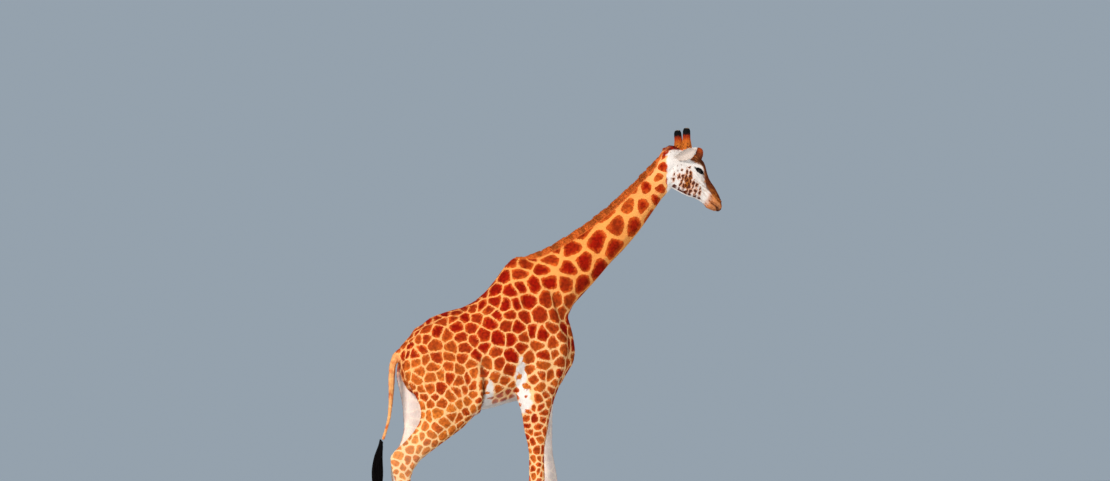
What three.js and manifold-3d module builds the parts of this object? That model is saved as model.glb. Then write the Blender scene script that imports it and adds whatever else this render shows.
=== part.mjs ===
// An adult bull giraffe of the reticulate-netted northern kind, life size, in a walking stance.
// Units are millimetres, +Z is up, +X is the way the animal faces and +Y is its left side.
// The origin is on the floor, below the middle of the animal's box.
//
// Each part of the body is a loft: a row of sections, each one spanning two outline points in the
// plane of the body (x, z) with a half-width across it. The flesh is joined, and parted again by
// thin cuts where the neck, the head, the tail and the lengths of each leg meet.
import * as THREE from "three";
import { mergeVertices } from "three/addons/utils/BufferGeometryUtils.js";
import Module from "manifold-3d";

const wasm = await Module();
wasm.setup();

// ---------------------------------------------------------------- driving dimensions
const CUT = 0.6; // width of each cut between two parts of the body
const SOCKET = 2; // the gap round each horn, ear and eye
const SMOOTHING = 5; // how far a facet may lie from the smooth form
const MANE_RISE = 66; // height of the mane's hair over the nape
const MANE_ROOT = 16; // how deep the mane is rooted in the nape
const MANE_THICK = 16; // half the thickness of the mane at its foot
const NECK_TURN = 82; // how far the head end of the neck swings to the animal's left
const HEAD_AT = new THREE.Vector3(1835, 82, 3891); // the brow line's rear end, where the head hinges
const HEAD_PITCH = 41; // degrees the head points down
const HEAD_YAW = 8; // degrees the head turns to the left
const HEAD_ROLL = -8; // degrees the head leans, right side up
const EYE_RADIUS = 25;
const EYE_AT = new THREE.Vector3(236, 56, 92); // along the head, up, and out to the side
const FORE_STEP = 400; // how far the left forehoof is ahead of the right one
const HOOF_HEIGHT = 128;
const HOOF_WIDTH = 205; // both claws together
const CLEFT = 9; // the gap between the two claws of a hoof

// ---------------------------------------------------------------- finishes
const finish = (color, roughness) => new THREE.MeshStandardMaterial({ color, roughness, metalness: 0 });
const COAT = finish("#c4662c", 0.85);
const FACE = finish("#d9c3a6", 0.85);
const MANE = finish("#8a3214", 0.9);
const TUFT = finish("#15100e", 0.8);
const HORN = finish("#9a4a1e", 0.85);
const HOOF = finish("#3a2d26", 0.55);
const EYE = finish("#120c0a", 0.08);

// ---------------------------------------------------------------- lofts
// A section is [aX, aZ, bX, bZ, halfWidth, y, fat]. Points a and b are its two outline points,
// y is how far it lies to the left, and fat widens the side of a (above 0) or that of b (below 0).
const FIELDS = 7;

// A smooth row of sections through the given ones, as many as asked.
function smoothSections(sections, count) {
  const tracks = [];
  for (let i = 0; i < FIELDS; i += 3) {
    const points = sections.map((s) => new THREE.Vector3(s[i] ?? 0, s[i + 1] ?? 0, s[i + 2] ?? 0));
    tracks.push(new THREE.CatmullRomCurve3(points, false, "catmullrom", 0.5));
  }
  return Array.from({ length: count }, (_, i) => {
    const share = i / (count - 1);
    return tracks.flatMap((track) => track.getPoint(share).toArray());
  });
}

// One section's ring of points, each grown by the given margin.
function ring([aX, aZ, bX, bZ, halfWidth, y, fat], sides, margin) {
  const middle = new THREE.Vector3((aX + bX) / 2, y, (aZ + bZ) / 2);
  const half = new THREE.Vector3((aX - bX) / 2, 0, (aZ - bZ) / 2);
  half.setLength(half.length() + margin);
  return Array.from({ length: sides }, (_, i) => {
    const angle = (2 * Math.PI * i) / sides;
    const across = (halfWidth + margin) * (1 + fat * Math.sin(angle)) * Math.cos(angle);
    return middle.clone().addScaledVector(half, Math.sin(angle)).add(new THREE.Vector3(0, across, 0));
  });
}

function centre(points) {
  return points.reduce((sum, p) => sum.add(p), new THREE.Vector3()).divideScalar(points.length);
}

// A closed surface over rings of points, with a point in the middle of each end.
function skinOver(rings) {
  const sides = rings[0].length;
  const points = [...rings.flat(), centre(rings[0]), centre(rings.at(-1))];
  const faces = [];
  for (let k = 0; k < sides; k++) {
    const next = (k + 1) % sides;
    for (let r = 0; r < rings.length - 1; r++) {
      const [a, b, c, d] = [r * sides + k, r * sides + next, (r + 1) * sides + next, (r + 1) * sides + k];
      faces.push(a, b, c, a, c, d);
    }
    const last = (rings.length - 1) * sides;
    faces.push(points.length - 2, next, k, points.length - 1, last + k, last + next);
  }
  const geometry = new THREE.BufferGeometry().setFromPoints(points);
  geometry.setIndex(faces);
  return geometry;
}

// A closed three.js geometry as a solid, turned outside out if its rings run the other way.
function solid(geometry, matrix = new THREE.Matrix4()) {
  const bare = new THREE.BufferGeometry()
    .setAttribute("position", geometry.getAttribute("position"))
    .setIndex(geometry.index)
    .applyMatrix4(matrix);
  const merged = mergeVertices(bare, 1e-3);
  const build = (triVerts) =>
    new wasm.Manifold(
      new wasm.Mesh({ numProp: 3, vertProperties: merged.attributes.position.array, triVerts }),
    );
  const made = build(new Uint32Array(merged.index.array));
  return made.volume() > 0 ? made : build(new Uint32Array(merged.index.array).reverse());
}

function loft(sections, { count, sides, margin = 0, matrix }) {
  const rings = smoothSections(sections, count).map((s) => ring(s, sides, margin));
  // With a margin, both ends move outward too.
  for (const [end, inner] of [[rings[0], rings[1]], [rings.at(-1), rings.at(-2)]]) {
    const out = centre(end).sub(centre(inner)).setLength(margin);
    end.forEach((p) => p.add(out));
  }
  return solid(skinOver(rings), matrix);
}

// A thin round blade, which parts the flesh across the given direction.
function blade(at, direction, radius) {
  const disc = new THREE.CylinderGeometry(radius, radius, CUT, 8).toNonIndexed();
  const turn = new THREE.Quaternion().setFromUnitVectors(
    new THREE.Vector3(0, 1, 0),
    new THREE.Vector3(...direction).normalize(),
  );
  const place = new THREE.Matrix4().compose(new THREE.Vector3(...at), turn, new THREE.Vector3(1, 1, 1));
  return solid(disc, place);
}

// ---------------------------------------------------------------- assembly
const giraffe = new THREE.Group();

function addNode(name, made, material) {
  const mesh = made.simplify(CUT / 6).getMesh();
  const places = new Float32Array(mesh.numVert * 3);
  for (let i = 0; i < mesh.numVert; i++) {
    places.set(mesh.vertProperties.subarray(i * mesh.numProp, i * mesh.numProp + 3), i * 3);
  }
  const geometry = new THREE.BufferGeometry()
    .setAttribute("position", new THREE.BufferAttribute(places, 3))
    .setIndex(new THREE.BufferAttribute(mesh.triVerts, 1));
  geometry.computeVertexNormals();
  const node = new THREE.Mesh(geometry, material);
  node.name = name;
  giraffe.add(node);
}

// Parts a body with blades and names its pieces in order along the given axis of space.
function addParted(names, whole, blades, axis, material) {
  const pieces = blades.reduce((rest, b) => rest.subtract(b), whole).decompose();
  const big = pieces.filter((p) => p.volume() > 200000);
  if (big.length !== names.length) throw new Error(`${names[0]}: ${big.length} pieces`);
  const middle = (p) => (p.boundingBox().min[axis] + p.boundingBox().max[axis]) / 2;
  big.sort((p, q) => middle(p) - middle(q)).forEach((p, i) => addNode(names[i], p, material));
}

// ---------------------------------------------------------------- trunk and neck
// a is the back line and b the belly line.
const TRUNK = [
  [-780, 2150, -755, 2035, 42, 0, 0],
  [-745, 2220, -725, 1895, 108, 0, 0],
  [-670, 2300, -660, 1800, 158, 0, -0.05],
  [-570, 2395, -525, 1735, 204, 0, -0.1],
  [-440, 2490, -375, 1690, 236, 0, -0.12],
  [-275, 2535, -230, 1660, 262, 0, -0.12],
  [-125, 2580, -80, 1640, 285, 0, -0.14],
  [-15, 2655, 50, 1645, 302, 0, -0.16],
  [100, 2765, 165, 1680, 306, 0, -0.2],
  [190, 2895, 275, 1710, 292, 0, -0.28],
  [272, 2988, 380, 1730, 272, 0, -0.36],
  [350, 3022, 480, 1740, 256, 0, -0.38],
  [505, 2972, 605, 1770, 232, 0, -0.26],
  [650, 2780, 705, 1820, 196, 0, -0.1],
  [765, 2580, 780, 1940, 150, 0, 0],
  [830, 2375, 845, 2035, 104, 0, 0],
  [860, 2240, 865, 2115, 50, 0, 0],
];

// a is the nape and b the throat. The y column is the share of NECK_TURN, filled in below.
const NECK = [
  [360, 2985, 790, 2330, 165, 0, -0.1],
  [455, 2995, 825, 2510, 166, 0, -0.14],
  [595, 3040, 895, 2610, 154, 0.02, -0.16],
  [755, 3115, 1030, 2740, 139, 0.1, -0.16],
  [950, 3230, 1195, 2925, 124, 0.22, -0.14],
  [1150, 3365, 1370, 3090, 112, 0.4, -0.12],
  [1335, 3515, 1530, 3270, 102, 0.58, -0.1],
  [1505, 3665, 1665, 3455, 95, 0.75, -0.08],
  [1640, 3805, 1775, 3585, 90, 0.88, -0.05],
  [1730, 3890, 1845, 3650, 86, 0.96, 0],
  [1790, 3910, 1905, 3715, 74, 1, 0],
];
const swing = (share) => share * NECK_TURN;
const neckSections = NECK.map((s) => s.map((v, i) => (i === 5 ? swing(v) : v)));

const TRUNK_LOFT = { count: 18, sides: 16 };
const NECK_LOFT = { count: 13, sides: 12 };
const HEAD_LOFT = { count: 17, sides: 12 };

// ---------------------------------------------------------------- head
// Head sections lie in the head's own frame: x runs from the brow's rear end to the lips, z out of
// the forehead. a is the profile of the face and b the line of the jaw.
const HEAD = [
  [-126, 6, -90, -140, 54, 0, 0],
  [-110, 80, -62, -205, 76, 0, 0.05],
  [-62, 114, -14, -243, 90, 0, 0.12],
  [0, 132, 48, -248, 96, 0, 0.18],
  [70, 165, 105, -232, 101, 0, 0.24],
  [130, 190, 163, -214, 106, 0, 0.3],
  [190, 205, 218, -198, 109, 0, 0.32],
  [236, 202, 248, -190, 107, 0, 0.32],
  [276, 185, 284, -176, 101, 0, 0.28],
  [332, 150, 338, -153, 86, 0, 0.2],
  [380, 126, 388, -124, 73, 0, 0.12],
  [438, 108, 440, -106, 65, 0, 0.05],
  [506, 91, 500, -96, 61, 0, 0],
  [564, 76, 548, -100, 61, 0, -0.02],
  [610, 50, 590, -84, 57, 0, 0],
  [648, 16, 632, -60, 43, 0, 0],
  [664, -14, 652, -48, 22, 0, 0],
];
const toHead = new THREE.Matrix4()
  .makeTranslation(HEAD_AT)
  .multiply(new THREE.Matrix4().makeRotationZ(THREE.MathUtils.degToRad(HEAD_YAW)))
  .multiply(new THREE.Matrix4().makeRotationY(THREE.MathUtils.degToRad(HEAD_PITCH)))
  .multiply(new THREE.Matrix4().makeRotationX(THREE.MathUtils.degToRad(HEAD_ROLL)));

// The sides of the head, which the paired parts share: the right side lies at y below 0.
const SIDES = { left: 1, right: -1 };

function eyeball(side, margin) {
  const ball = new THREE.SphereGeometry(EYE_RADIUS + margin, 8, 6);
  const place = new THREE.Matrix4().makeTranslation(EYE_AT.x, side * EYE_AT.z, EYE_AT.y);
  return solid(ball, toHead.clone().multiply(place));
}

// How far the first or the last section moves outward with a margin.
const endShift = (share, margin) => (share <= 0 ? -margin : share >= 1 ? margin : 0);

// A pole of round sections along a line in the head's frame, as the horns are.
function pole(from, to, radii, sides, margin = 0) {
  const line = to.clone().sub(from);
  const way = line.clone().normalize();
  const turn = new THREE.Quaternion().setFromUnitVectors(new THREE.Vector3(0, 1, 0), way);
  const profile = radii.map(([share, radius]) => {
    const reach = radius > 0 ? radius + margin : 0;
    return new THREE.Vector2(reach, share * line.length() + endShift(share, margin));
  });
  const place = new THREE.Matrix4().compose(from, turn, new THREE.Vector3(1, 1, 1));
  return solid(new THREE.LatheGeometry(profile, sides), toHead.clone().multiply(place));
}

const ossicone = (side, margin) =>
  pole(
    new THREE.Vector3(66, side * 55, 100),
    new THREE.Vector3(-96, side * 75, 294),
    [[0, 0], [0, 50], [0.32, 50], [0.6, 37], [0.88, 35], [0.97, 26], [1, 0]],
    10,
    margin,
  );

const browHorn = (margin) =>
  pole(
    new THREE.Vector3(184, 0, 130),
    new THREE.Vector3(160, 0, 288),
    [[0, 0], [0, 62], [0.6, 54], [0.82, 42], [0.95, 26], [1, 0]],
    10,
    margin,
  );

// An ear is a cupped leaf. Its sections run from the root to the tip: [distance, halfWidth].
const EAR_LENGTH = 222;
const EAR_THICK = 9;
const EAR_LEAF = [[0, 28], [0.16, 42], [0.34, 58], [0.52, 62], [0.72, 50], [0.88, 28], [1, 6]];
const EAR_CUP = 26; // how deep the leaf is cupped at its widest
const EAR_ROOT = new THREE.Vector3(-10, -17, 84); // along the head, up, and out to the side
const EAR_WAY = new THREE.Vector3(0.19, 0.63, 0.75); // from its root to its tip, in the same order
const EAR_OPENS = new THREE.Vector3(0.1, -0.8, 0.55); // where the cup opens, in the same order

function ear(side, margin) {
  const leaf = EAR_LEAF.map(([share, halfWidth]) => {
    const count = 8;
    return Array.from({ length: count }, (_, i) => {
      const angle = (2 * Math.PI * i) / count;
      const across = (halfWidth + margin) * Math.cos(angle);
      const cup = EAR_CUP * (halfWidth / EAR_LEAF[3][1]) * (across / halfWidth) ** 2;
      const along = share * EAR_LENGTH + endShift(share, margin);
      return new THREE.Vector3(across, along, (EAR_THICK + margin) * Math.sin(angle) + cup);
    });
  });
  // The leaf's y points to its tip and its z out of the cup, which opens forward and outward.
  const onHead = ({ x, y, z }) => new THREE.Vector3(x, side * z, y);
  const tip = onHead(EAR_WAY).normalize();
  const open = onHead(EAR_OPENS);
  open.addScaledVector(tip, -open.dot(tip)).normalize();
  const across = new THREE.Vector3().crossVectors(tip, open);
  const place = new THREE.Matrix4().makeBasis(across, tip, open).setPosition(onHead(EAR_ROOT));
  return solid(skinOver(leaf), toHead.clone().multiply(place));
}

// ---------------------------------------------------------------- legs
// a is the front line and b the rear line of a leg, and y is how far out it stands.
const FORELEG = [
  [490, 2950, 340, 2880, 44, 66, 0],
  [570, 2800, 300, 2750, 68, 104, 0],
  [645, 2640, 285, 2590, 88, 138, 0],
  [725, 2355, 245, 2325, 102, 170, 0],
  [775, 2160, 225, 2125, 106, 184, 0],
  [725, 1965, 230, 1950, 101, 191, 0],
  [665, 1850, 245, 1815, 93, 194, 0],
  [625, 1750, 265, 1710, 85, 194, 0],
  [590, 1645, 305, 1630, 77, 193, 0],
  [575, 1560, 315, 1540, 71, 191, 0],
  [560, 1460, 330, 1460, 66, 189, 0],
  [541, 1380, 352, 1380, 62, 187, 0],
  [528, 1290, 374, 1300, 59, 185, 0],
  [524, 1180, 382, 1175, 62, 184, 0],
  [534, 1070, 380, 1060, 71, 183, 0],
  [526, 990, 384, 970, 67, 182, 0],
  [505, 900, 398, 885, 51, 181, 0],
  [494, 740, 404, 735, 43, 179, 0],
  [490, 540, 402, 540, 41, 177, 0],
  [496, 420, 396, 412, 45, 175, 0],
  [510, 325, 380, 298, 55, 174, 0],
  [524, 265, 392, 225, 54, 173, 0],
  [566, 190, 424, 150, 50, 172, 0],
  [608, 128, 436, 92, 64, 172, 0],
];
const HIND_NEAR = [
  [-380, 2460, -600, 2370, 50, 92, 0],
  [-190, 2320, -735, 2200, 96, 128, 0],
  [-60, 2140, -785, 2010, 124, 154, 0],
  [-5, 1955, -750, 1905, 134, 170, 0],
  [5, 1815, -710, 1820, 133, 180, 0],
  [-20, 1700, -655, 1730, 126, 186, 0],
  [-115, 1605, -630, 1640, 112, 189, 0],
  [-195, 1515, -635, 1565, 97, 189, 0],
  [-305, 1435, -675, 1485, 82, 187, 0],
  [-415, 1360, -745, 1405, 69, 184, 0],
  [-525, 1280, -815, 1335, 61, 181, 0],
  [-620, 1205, -900, 1270, 62, 178, 0],
  [-682, 1120, -896, 1190, 62, 176, 0],
  [-706, 1045, -872, 1085, 55, 174, 0],
  [-704, 965, -836, 990, 49, 173, 0],
  [-682, 840, -788, 860, 43, 171, 0],
  [-636, 650, -732, 675, 40, 169, 0],
  [-592, 470, -690, 490, 41, 167, 0],
  [-564, 395, -676, 405, 45, 166, 0],
  [-536, 325, -668, 315, 54, 165, 0],
  [-512, 262, -642, 235, 53, 164, 0],
  [-464, 190, -600, 155, 49, 163, 0],
  [-420, 125, -586, 90, 61, 163, 0],
];
const HIND_FAR = [
  [-380, 2460, -600, 2370, 50, 92, 0],
  [-190, 2320, -705, 2200, 96, 128, 0],
  [-75, 2140, -750, 2010, 124, 154, 0],
  [-15, 1955, -740, 1905, 134, 170, 0],
  [10, 1815, -710, 1815, 133, 180, 0],
  [-10, 1695, -685, 1710, 126, 186, 0],
  [-120, 1555, -675, 1620, 112, 188, 0],
  [-250, 1440, -665, 1505, 93, 186, 0],
  [-365, 1345, -680, 1415, 76, 183, 0],
  [-460, 1255, -712, 1330, 65, 180, 0],
  [-542, 1165, -770, 1245, 62, 177, 0],
  [-592, 1085, -788, 1160, 62, 175, 0],
  [-622, 1010, -782, 1060, 55, 173, 0],
  [-636, 935, -764, 960, 49, 172, 0],
  [-640, 820, -744, 835, 43, 170, 0],
  [-628, 640, -722, 650, 40, 168, 0],
  [-612, 475, -708, 480, 41, 166, 0],
  [-600, 395, -708, 390, 45, 165, 0],
  [-582, 325, -710, 302, 54, 164, 0],
  [-562, 262, -690, 228, 53, 163, 0],
  [-518, 190, -652, 152, 49, 162, 0],
  [-474, 125, -640, 90, 61, 162, 0],
];

// Moves a leg's lower sections forward, most at the hoof, as in a step.
function stepped(sections, reach) {
  const top = 2600;
  return sections.map(([aX, aZ, bX, bZ, ...rest]) => {
    const move = (z) => reach * Math.max(0, 1 - z / top);
    return [aX + move(aZ), aZ, bX + move(bZ), bZ, ...rest];
  });
}

const onSide = (sections, side) => sections.map((s) => s.map((v, i) => (i === 5 ? side * v : v)));
const LEGS = {
  foreleg_right: onSide(FORELEG, SIDES.right),
  foreleg_left: onSide(stepped(FORELEG, FORE_STEP), SIDES.left),
  hindleg_right: onSide(HIND_NEAR, SIDES.right),
  hindleg_left: onSide(HIND_FAR, SIDES.left),
};
const LEG_LOFT = { count: 25, sides: 8 };

// Where each leg is parted, as the heights of the middle of the cuts, and how its lengths are named.
const FORE_CUTS = [215, 945, 1690];
const HIND_CUTS = [210, 1175, 1530];
const LENGTHS = {
  foreleg: ["pastern", "cannon", "forearm", "shoulder"],
  hindleg: ["pastern", "cannon", "gaskin", "thigh"],
};

// The middle of a leg's section at a height, and the way that the leg runs there.
function legAt(sections, height) {
  const middles = sections.map(
    ([aX, aZ, bX, bZ, , y]) => new THREE.Vector3((aX + bX) / 2, y, (aZ + bZ) / 2),
  );
  const k = middles.findIndex((m) => m.z < height);
  const [above, below] = [middles[k - 1], middles[k]];
  const share = (above.z - height) / (above.z - below.z);
  return { at: above.clone().lerp(below, share).toArray(), way: above.clone().sub(below).toArray() };
}

// ---------------------------------------------------------------- tail
const TAIL = [
  [-700, 2215, -740, 2080, 40, 0, 0],
  [-790, 2185, -770, 2055, 38, 0, 0],
  [-850, 2085, -786, 2035, 31, 0, 0],
  [-866, 1920, -796, 1905, 27, 0, 0],
  [-862, 1775, -806, 1765, 21, 0, 0],
  [-871, 1595, -830, 1590, 17, 0, 0],
  [-900, 1475, -864, 1465, 15, 0, 0],
  [-935, 1375, -903, 1360, 13, 0, 0],
  [-944, 1340, -918, 1332, 9, 0, 0],
];
const TUFT_SECTIONS = [
  [-938, 1398, -894, 1380, 17, 0, 0],
  [-966, 1335, -896, 1320, 34, 0, 0],
  [-1000, 1250, -900, 1238, 46, 0, 0],
  [-1014, 1125, -902, 1120, 49, 0, 0],
  [-1008, 1000, -910, 995, 42, 0, 0],
  [-992, 885, -928, 882, 28, 0, 0],
  [-980, 810, -946, 808, 12, 0, 0],
];
const tail = (margin) => loft(TAIL, { count: 12, sides: 7, margin });
const tailTuft = (margin) => loft(TUFT_SECTIONS, { count: 10, sides: 7, margin });

// ---------------------------------------------------------------- mane
// The mane stands on the nape, from the poll down to the withers.
const MANE_SHARE = [0.45, 0.6, 0.8, 0.95, 1, 1, 1, 1, 0.95, 0.85, 0.7];
const MANE_FOOT = [318, 2985, 560, 2640, 0, 0, 0];
const maneSections = [MANE_FOOT, ...neckSections.slice(1, 11)].map(([aX, aZ, bX, bZ, , y], i) => {
  const up = new THREE.Vector2(aX - bX, aZ - bZ).setLength(MANE_RISE * MANE_SHARE[i]);
  const down = up.clone().setLength(MANE_ROOT);
  return [aX + up.x, aZ + up.y, aX - down.x, aZ - down.y, MANE_THICK, y, -0.4];
});
const mane = (margin) => loft(maneSections, { count: 13, sides: 6, margin });

// ---------------------------------------------------------------- legs, parted
// A hoof's claw: a low wedge, flat on the floor, long at the toe and steep at the heel.
function claw(coronet, y, side, half) {
  const [toe, , heel] = coronet;
  const width = HOOF_WIDTH / 4;
  const lean = side * half * (width + CLEFT / 2);
  return [
    [toe + 76, 0, heel - 34, 0, width, y + lean, 0],
    [toe + 66, 24, heel - 38, 26, width, y + lean, 0],
    [toe + 40, 66, heel - 30, 62, width - 3, y + lean * 0.97, 0],
    [toe + 12, 110, heel - 4, 92, width - 9, y + lean * 0.92, 0],
    [toe - 40, HOOF_HEIGHT + 6, heel + 44, HOOF_HEIGHT - 12, width - 30, y + lean * 0.86, 0],
  ];
}

// The room that a leg takes out of the body. Beside the trunk it reaches outward through the flesh,
// and below the trunk it holds the leg with space all round.
const ROOM_SECTIONS = [0, 1, 2, 3, 4, 5, 6, 7, 9, 12, 15];
const OUTWARD = 90;
const SPACE = 36;

function legRoom(sections, margin) {
  const chosen = [...ROOM_SECTIONS.map((i) => sections[i]), sections.at(-1)];
  const rings = chosen.map(([aX, aZ, bX, bZ, halfWidth, y, fat], i) => {
    const out = i < 6 ? OUTWARD : 0;
    const space = i < 6 ? SPACE / 2 : SPACE;
    return ring([aX, aZ, bX, bZ, halfWidth + out, y + Math.sign(y) * out, fat], 8, margin + space);
  });
  const down = new THREE.Vector3(0, 0, -SPACE - margin);
  rings.at(-1).forEach((p) => p.add(down));
  rings[0].forEach((p) => p.sub(down.clone().setLength(margin)));
  return solid(skinOver(rings));
}

const whole = [
  loft(TRUNK, TRUNK_LOFT),
  loft(neckSections, NECK_LOFT),
  loft(HEAD, { ...HEAD_LOFT, matrix: toHead }),
  ...Object.values(LEGS).map((sections) => loft(sections, LEG_LOFT)),
]
  .reduce((all, one) => all.add(one))
  .simplify(SMOOTHING);

for (const [legName, sections] of Object.entries(LEGS)) {
  const [kind, sideName] = legName.split("_");
  const cuts = kind === "foreleg" ? FORE_CUTS : HIND_CUTS;
  const blades = cuts.map((height) => {
    const { at, way } = legAt(sections, height);
    return blade(at, way, height > 1300 ? 420 : 170);
  });
  const last = sections.at(-1);
  const claws = [1, -1].map((half) => claw(last, last[5], SIDES[sideName], half));
  const clawSolids = claws.map((c) => loft(c, { count: 5, sides: 7 }));
  const clawRoom = claws.map((c) => loft(c, { count: 5, sides: 7, margin: CUT }));
  const leg = whole.intersect(legRoom(sections, 0));
  const flesh = [...clawRoom, tail(CUT)].reduce((rest, room) => rest.subtract(room), leg);
  addParted(LENGTHS[kind].map((n) => `${legName}_${n}`), flesh, blades, 2, COAT);
  const end = kind === "foreleg" ? "front" : "hind";
  addNode(`hoof_${end}_${sideName}_outer`, clawSolids[0], HOOF);
  addNode(`hoof_${end}_${sideName}_inner`, clawSolids[1].subtract(clawRoom[0]), HOOF);
}

// ---------------------------------------------------------------- trunk, neck and head, parted
const horns = [ossicone(SIDES.left, 0), ossicone(SIDES.right, 0), browHorn(0)];
const rooms = [
  ...Object.values(LEGS).map((sections) => legRoom(sections, CUT)),
  ossicone(SIDES.left, SOCKET),
  ossicone(SIDES.right, SOCKET),
  browHorn(SOCKET),
  ear(SIDES.left, SOCKET),
  ear(SIDES.right, SOCKET),
  eyeball(SIDES.left, SOCKET),
  eyeball(SIDES.right, SOCKET),
  tail(CUT),
  mane(CUT),
];
const flesh = rooms.reduce((rest, room) => rest.subtract(room), whole);
addParted(
  ["trunk_rear", "trunk_front", "neck_lower", "neck_middle", "neck_upper", "head"],
  flesh,
  [
    blade([-60, 0, 2120], [1, 0, 0.12], 620),
    blade([690, 0, 2770], [0.81, 0, 0.58], 360),
    blade([1072, 18, 3072], [0.77, 0, 0.64], 260),
    blade([1432, 47, 3388], [0.77, 0, 0.64], 220),
    blade([1738, 76, 3728], [0.96, 0.1, 0.22], 210),
  ],
  0,
  COAT,
);
horns.forEach((h, i) => addNode(["ossicone_left", "ossicone_right", "brow_horn"][i], h, HORN));
for (const [name, side] of Object.entries(SIDES)) {
  addNode(`ear_${name}`, ear(side, 0).subtract(ossicone(side, SOCKET)), FACE);
  addNode(`eye_${name}`, eyeball(side, 0), EYE);
}
addNode("tail_dock", tail(0).subtract(tailTuft(CUT)), COAT);
addNode("tail_tuft", tailTuft(0), TUFT);
const maneRooms = [ossicone(SIDES.left, SOCKET), ossicone(SIDES.right, SOCKET)];
addParted(
  ["mane_lower", "mane_upper"],
  maneRooms.reduce((rest, room) => rest.subtract(room), mane(0)),
  [blade([1072, 18, 3330], [0.77, 0, 0.64], 150)],
  0,
  MANE,
);

// ---------------------------------------------------------------- the part's frame
const box = new THREE.Box3().setFromObject(giraffe);
giraffe.position.set(-(box.min.x + box.max.x) / 2, -(box.min.y + box.max.y) / 2, -box.min.z);

export default giraffe;
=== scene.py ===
"""Gives a life-size standing giraffe its skin, coat, horns, hooves, eyes and mane.

Lengths are metres in the frame of the solid model: +X is the way the body faces, +Y its left side
and +Z is up. Places on the head are millimetres in the head's own frame, where x runs from the
brow's rear end to the lips, y to the left and z out of the forehead.
"""

import math
from collections import namedtuple

import bmesh
import bpy
import numpy as np
from mathutils import Matrix, Vector
from mathutils.bvhtree import BVHTree


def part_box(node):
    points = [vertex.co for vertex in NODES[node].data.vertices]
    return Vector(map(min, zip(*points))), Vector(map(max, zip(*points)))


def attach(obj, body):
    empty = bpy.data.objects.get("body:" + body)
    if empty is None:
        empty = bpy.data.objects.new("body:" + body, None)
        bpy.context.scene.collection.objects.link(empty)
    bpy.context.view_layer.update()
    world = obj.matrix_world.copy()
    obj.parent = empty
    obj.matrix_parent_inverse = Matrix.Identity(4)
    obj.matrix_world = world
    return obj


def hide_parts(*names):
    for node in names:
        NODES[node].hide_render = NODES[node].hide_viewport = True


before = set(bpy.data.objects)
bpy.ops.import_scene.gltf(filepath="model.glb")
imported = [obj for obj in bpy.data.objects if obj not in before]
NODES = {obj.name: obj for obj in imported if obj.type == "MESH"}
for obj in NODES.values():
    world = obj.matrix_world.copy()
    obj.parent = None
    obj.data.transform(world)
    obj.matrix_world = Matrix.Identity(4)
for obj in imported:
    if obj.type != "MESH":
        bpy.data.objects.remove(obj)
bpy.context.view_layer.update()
SIDES = {"left": 1.0, "right": -1.0}

bl_info = {
    "name": "Standing giraffe",
    "version": (1, 0, 0),
    "blender": (4, 5, 0),
    "location": "3D View > Sidebar > Giraffe",
    "description": "Builds the skin, coat and features of a life-size giraffe round its solid frame",
    "category": "Object",
}


# ---------------------------------------------------------------- sizes and colours
def length(name, description, default):
    return bpy.props.FloatProperty(name=name, description=description, default=default, unit="LENGTH")


def colour(name, description, default):
    return bpy.props.FloatVectorProperty(
        name=name, description=description, default=default, size=3, subtype="COLOR", min=0.0, max=1.0
    )


class GiraffeSizes(bpy.types.PropertyGroup):
    """The sizes that set how fine the model is and how long its hair is."""

    grain: length("Skin grain", "Distance between neighbouring points of the first skin", 0.006)
    coat_depth: length("Coat depth", "How far the skin lies inside the solid body", 0.006)
    hair_length: length("Hair length", "Length of the short hair on the trunk", 0.021)
    lash_length: length("Lash length", "Length of the longest eyelashes", 0.028)
    tuft_count: bpy.props.IntProperty(
        name="Coat tufts", description="How many short tufts lie on the body", default=140000, min=0
    )
    seed: bpy.props.IntProperty(name="Seed", description="Start of every random draw", default=11, min=0)


class GiraffeColours(bpy.types.PropertyGroup):
    """The colours of the hair, skin, horn and eyes."""

    patch_core: colour("Patch core", "Middle of the darkest patches", (0.300, 0.007, 0.001))
    patch_rim: colour("Patch rim", "Rim of the darkest patches", (0.560, 0.070, 0.007))
    patch_light: colour("Light patch", "Patches of the legs and thighs", (0.680, 0.185, 0.022))
    line_orange: colour("Orange line", "Lines of the net on the neck and back", (0.850, 0.310, 0.065))
    line_cream: colour("Cream line", "Lines of the net on the lower body", (0.880, 0.500, 0.215))
    white: colour("White hair", "Hair of the face, belly and inner legs", (0.800, 0.695, 0.610))
    brown: colour("Brown hair", "Hair of the brow and the nose", (0.170, 0.032, 0.007))
    muzzle: colour("Muzzle", "Hair of the lips", (0.560, 0.150, 0.016))
    black: colour("Black hair", "Hair of the tail, horn tips and lashes", (0.004, 0.003, 0.003))
    mane: colour("Mane", "Hair of the mane", (0.580, 0.120, 0.020))
    hoof: colour("Hoof", "Horn of the hooves", (0.060, 0.042, 0.030))
    eye: colour("Eye", "Iris of the eyes", (0.012, 0.006, 0.004))
    spot: colour("Face spots", "Dark spots of the cheek", (0.070, 0.009, 0.003))
    horn: colour("Horn", "Hair of the horns", (0.560, 0.130, 0.014))
    horn_tip: colour("Horn tip", "Bald tips of the horns", (0.400, 0.260, 0.170))
    floor: colour("Floor", "The floor and the air round it", (0.560, 0.600, 0.640))


def sizes():
    return bpy.context.scene.giraffe_sizes


def colours():
    return bpy.context.scene.giraffe_colours


# ---------------------------------------------------------------- the head's frame
EYE_FROM_HINGE = Vector((236.0, 0.0, 56.0))  # between the eyes, from the brow's rear end
EYE_RADIUS = 25.0
HEAD_YAW, HEAD_PITCH, HEAD_ROLL = (math.radians(a) for a in (8.0, 41.0, -8.0))
HEAD_TURN = (
    Matrix.Rotation(HEAD_YAW, 3, "Z")
    @ Matrix.Rotation(HEAD_PITCH, 3, "Y")
    @ Matrix.Rotation(HEAD_ROLL, 3, "X")
)


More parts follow.
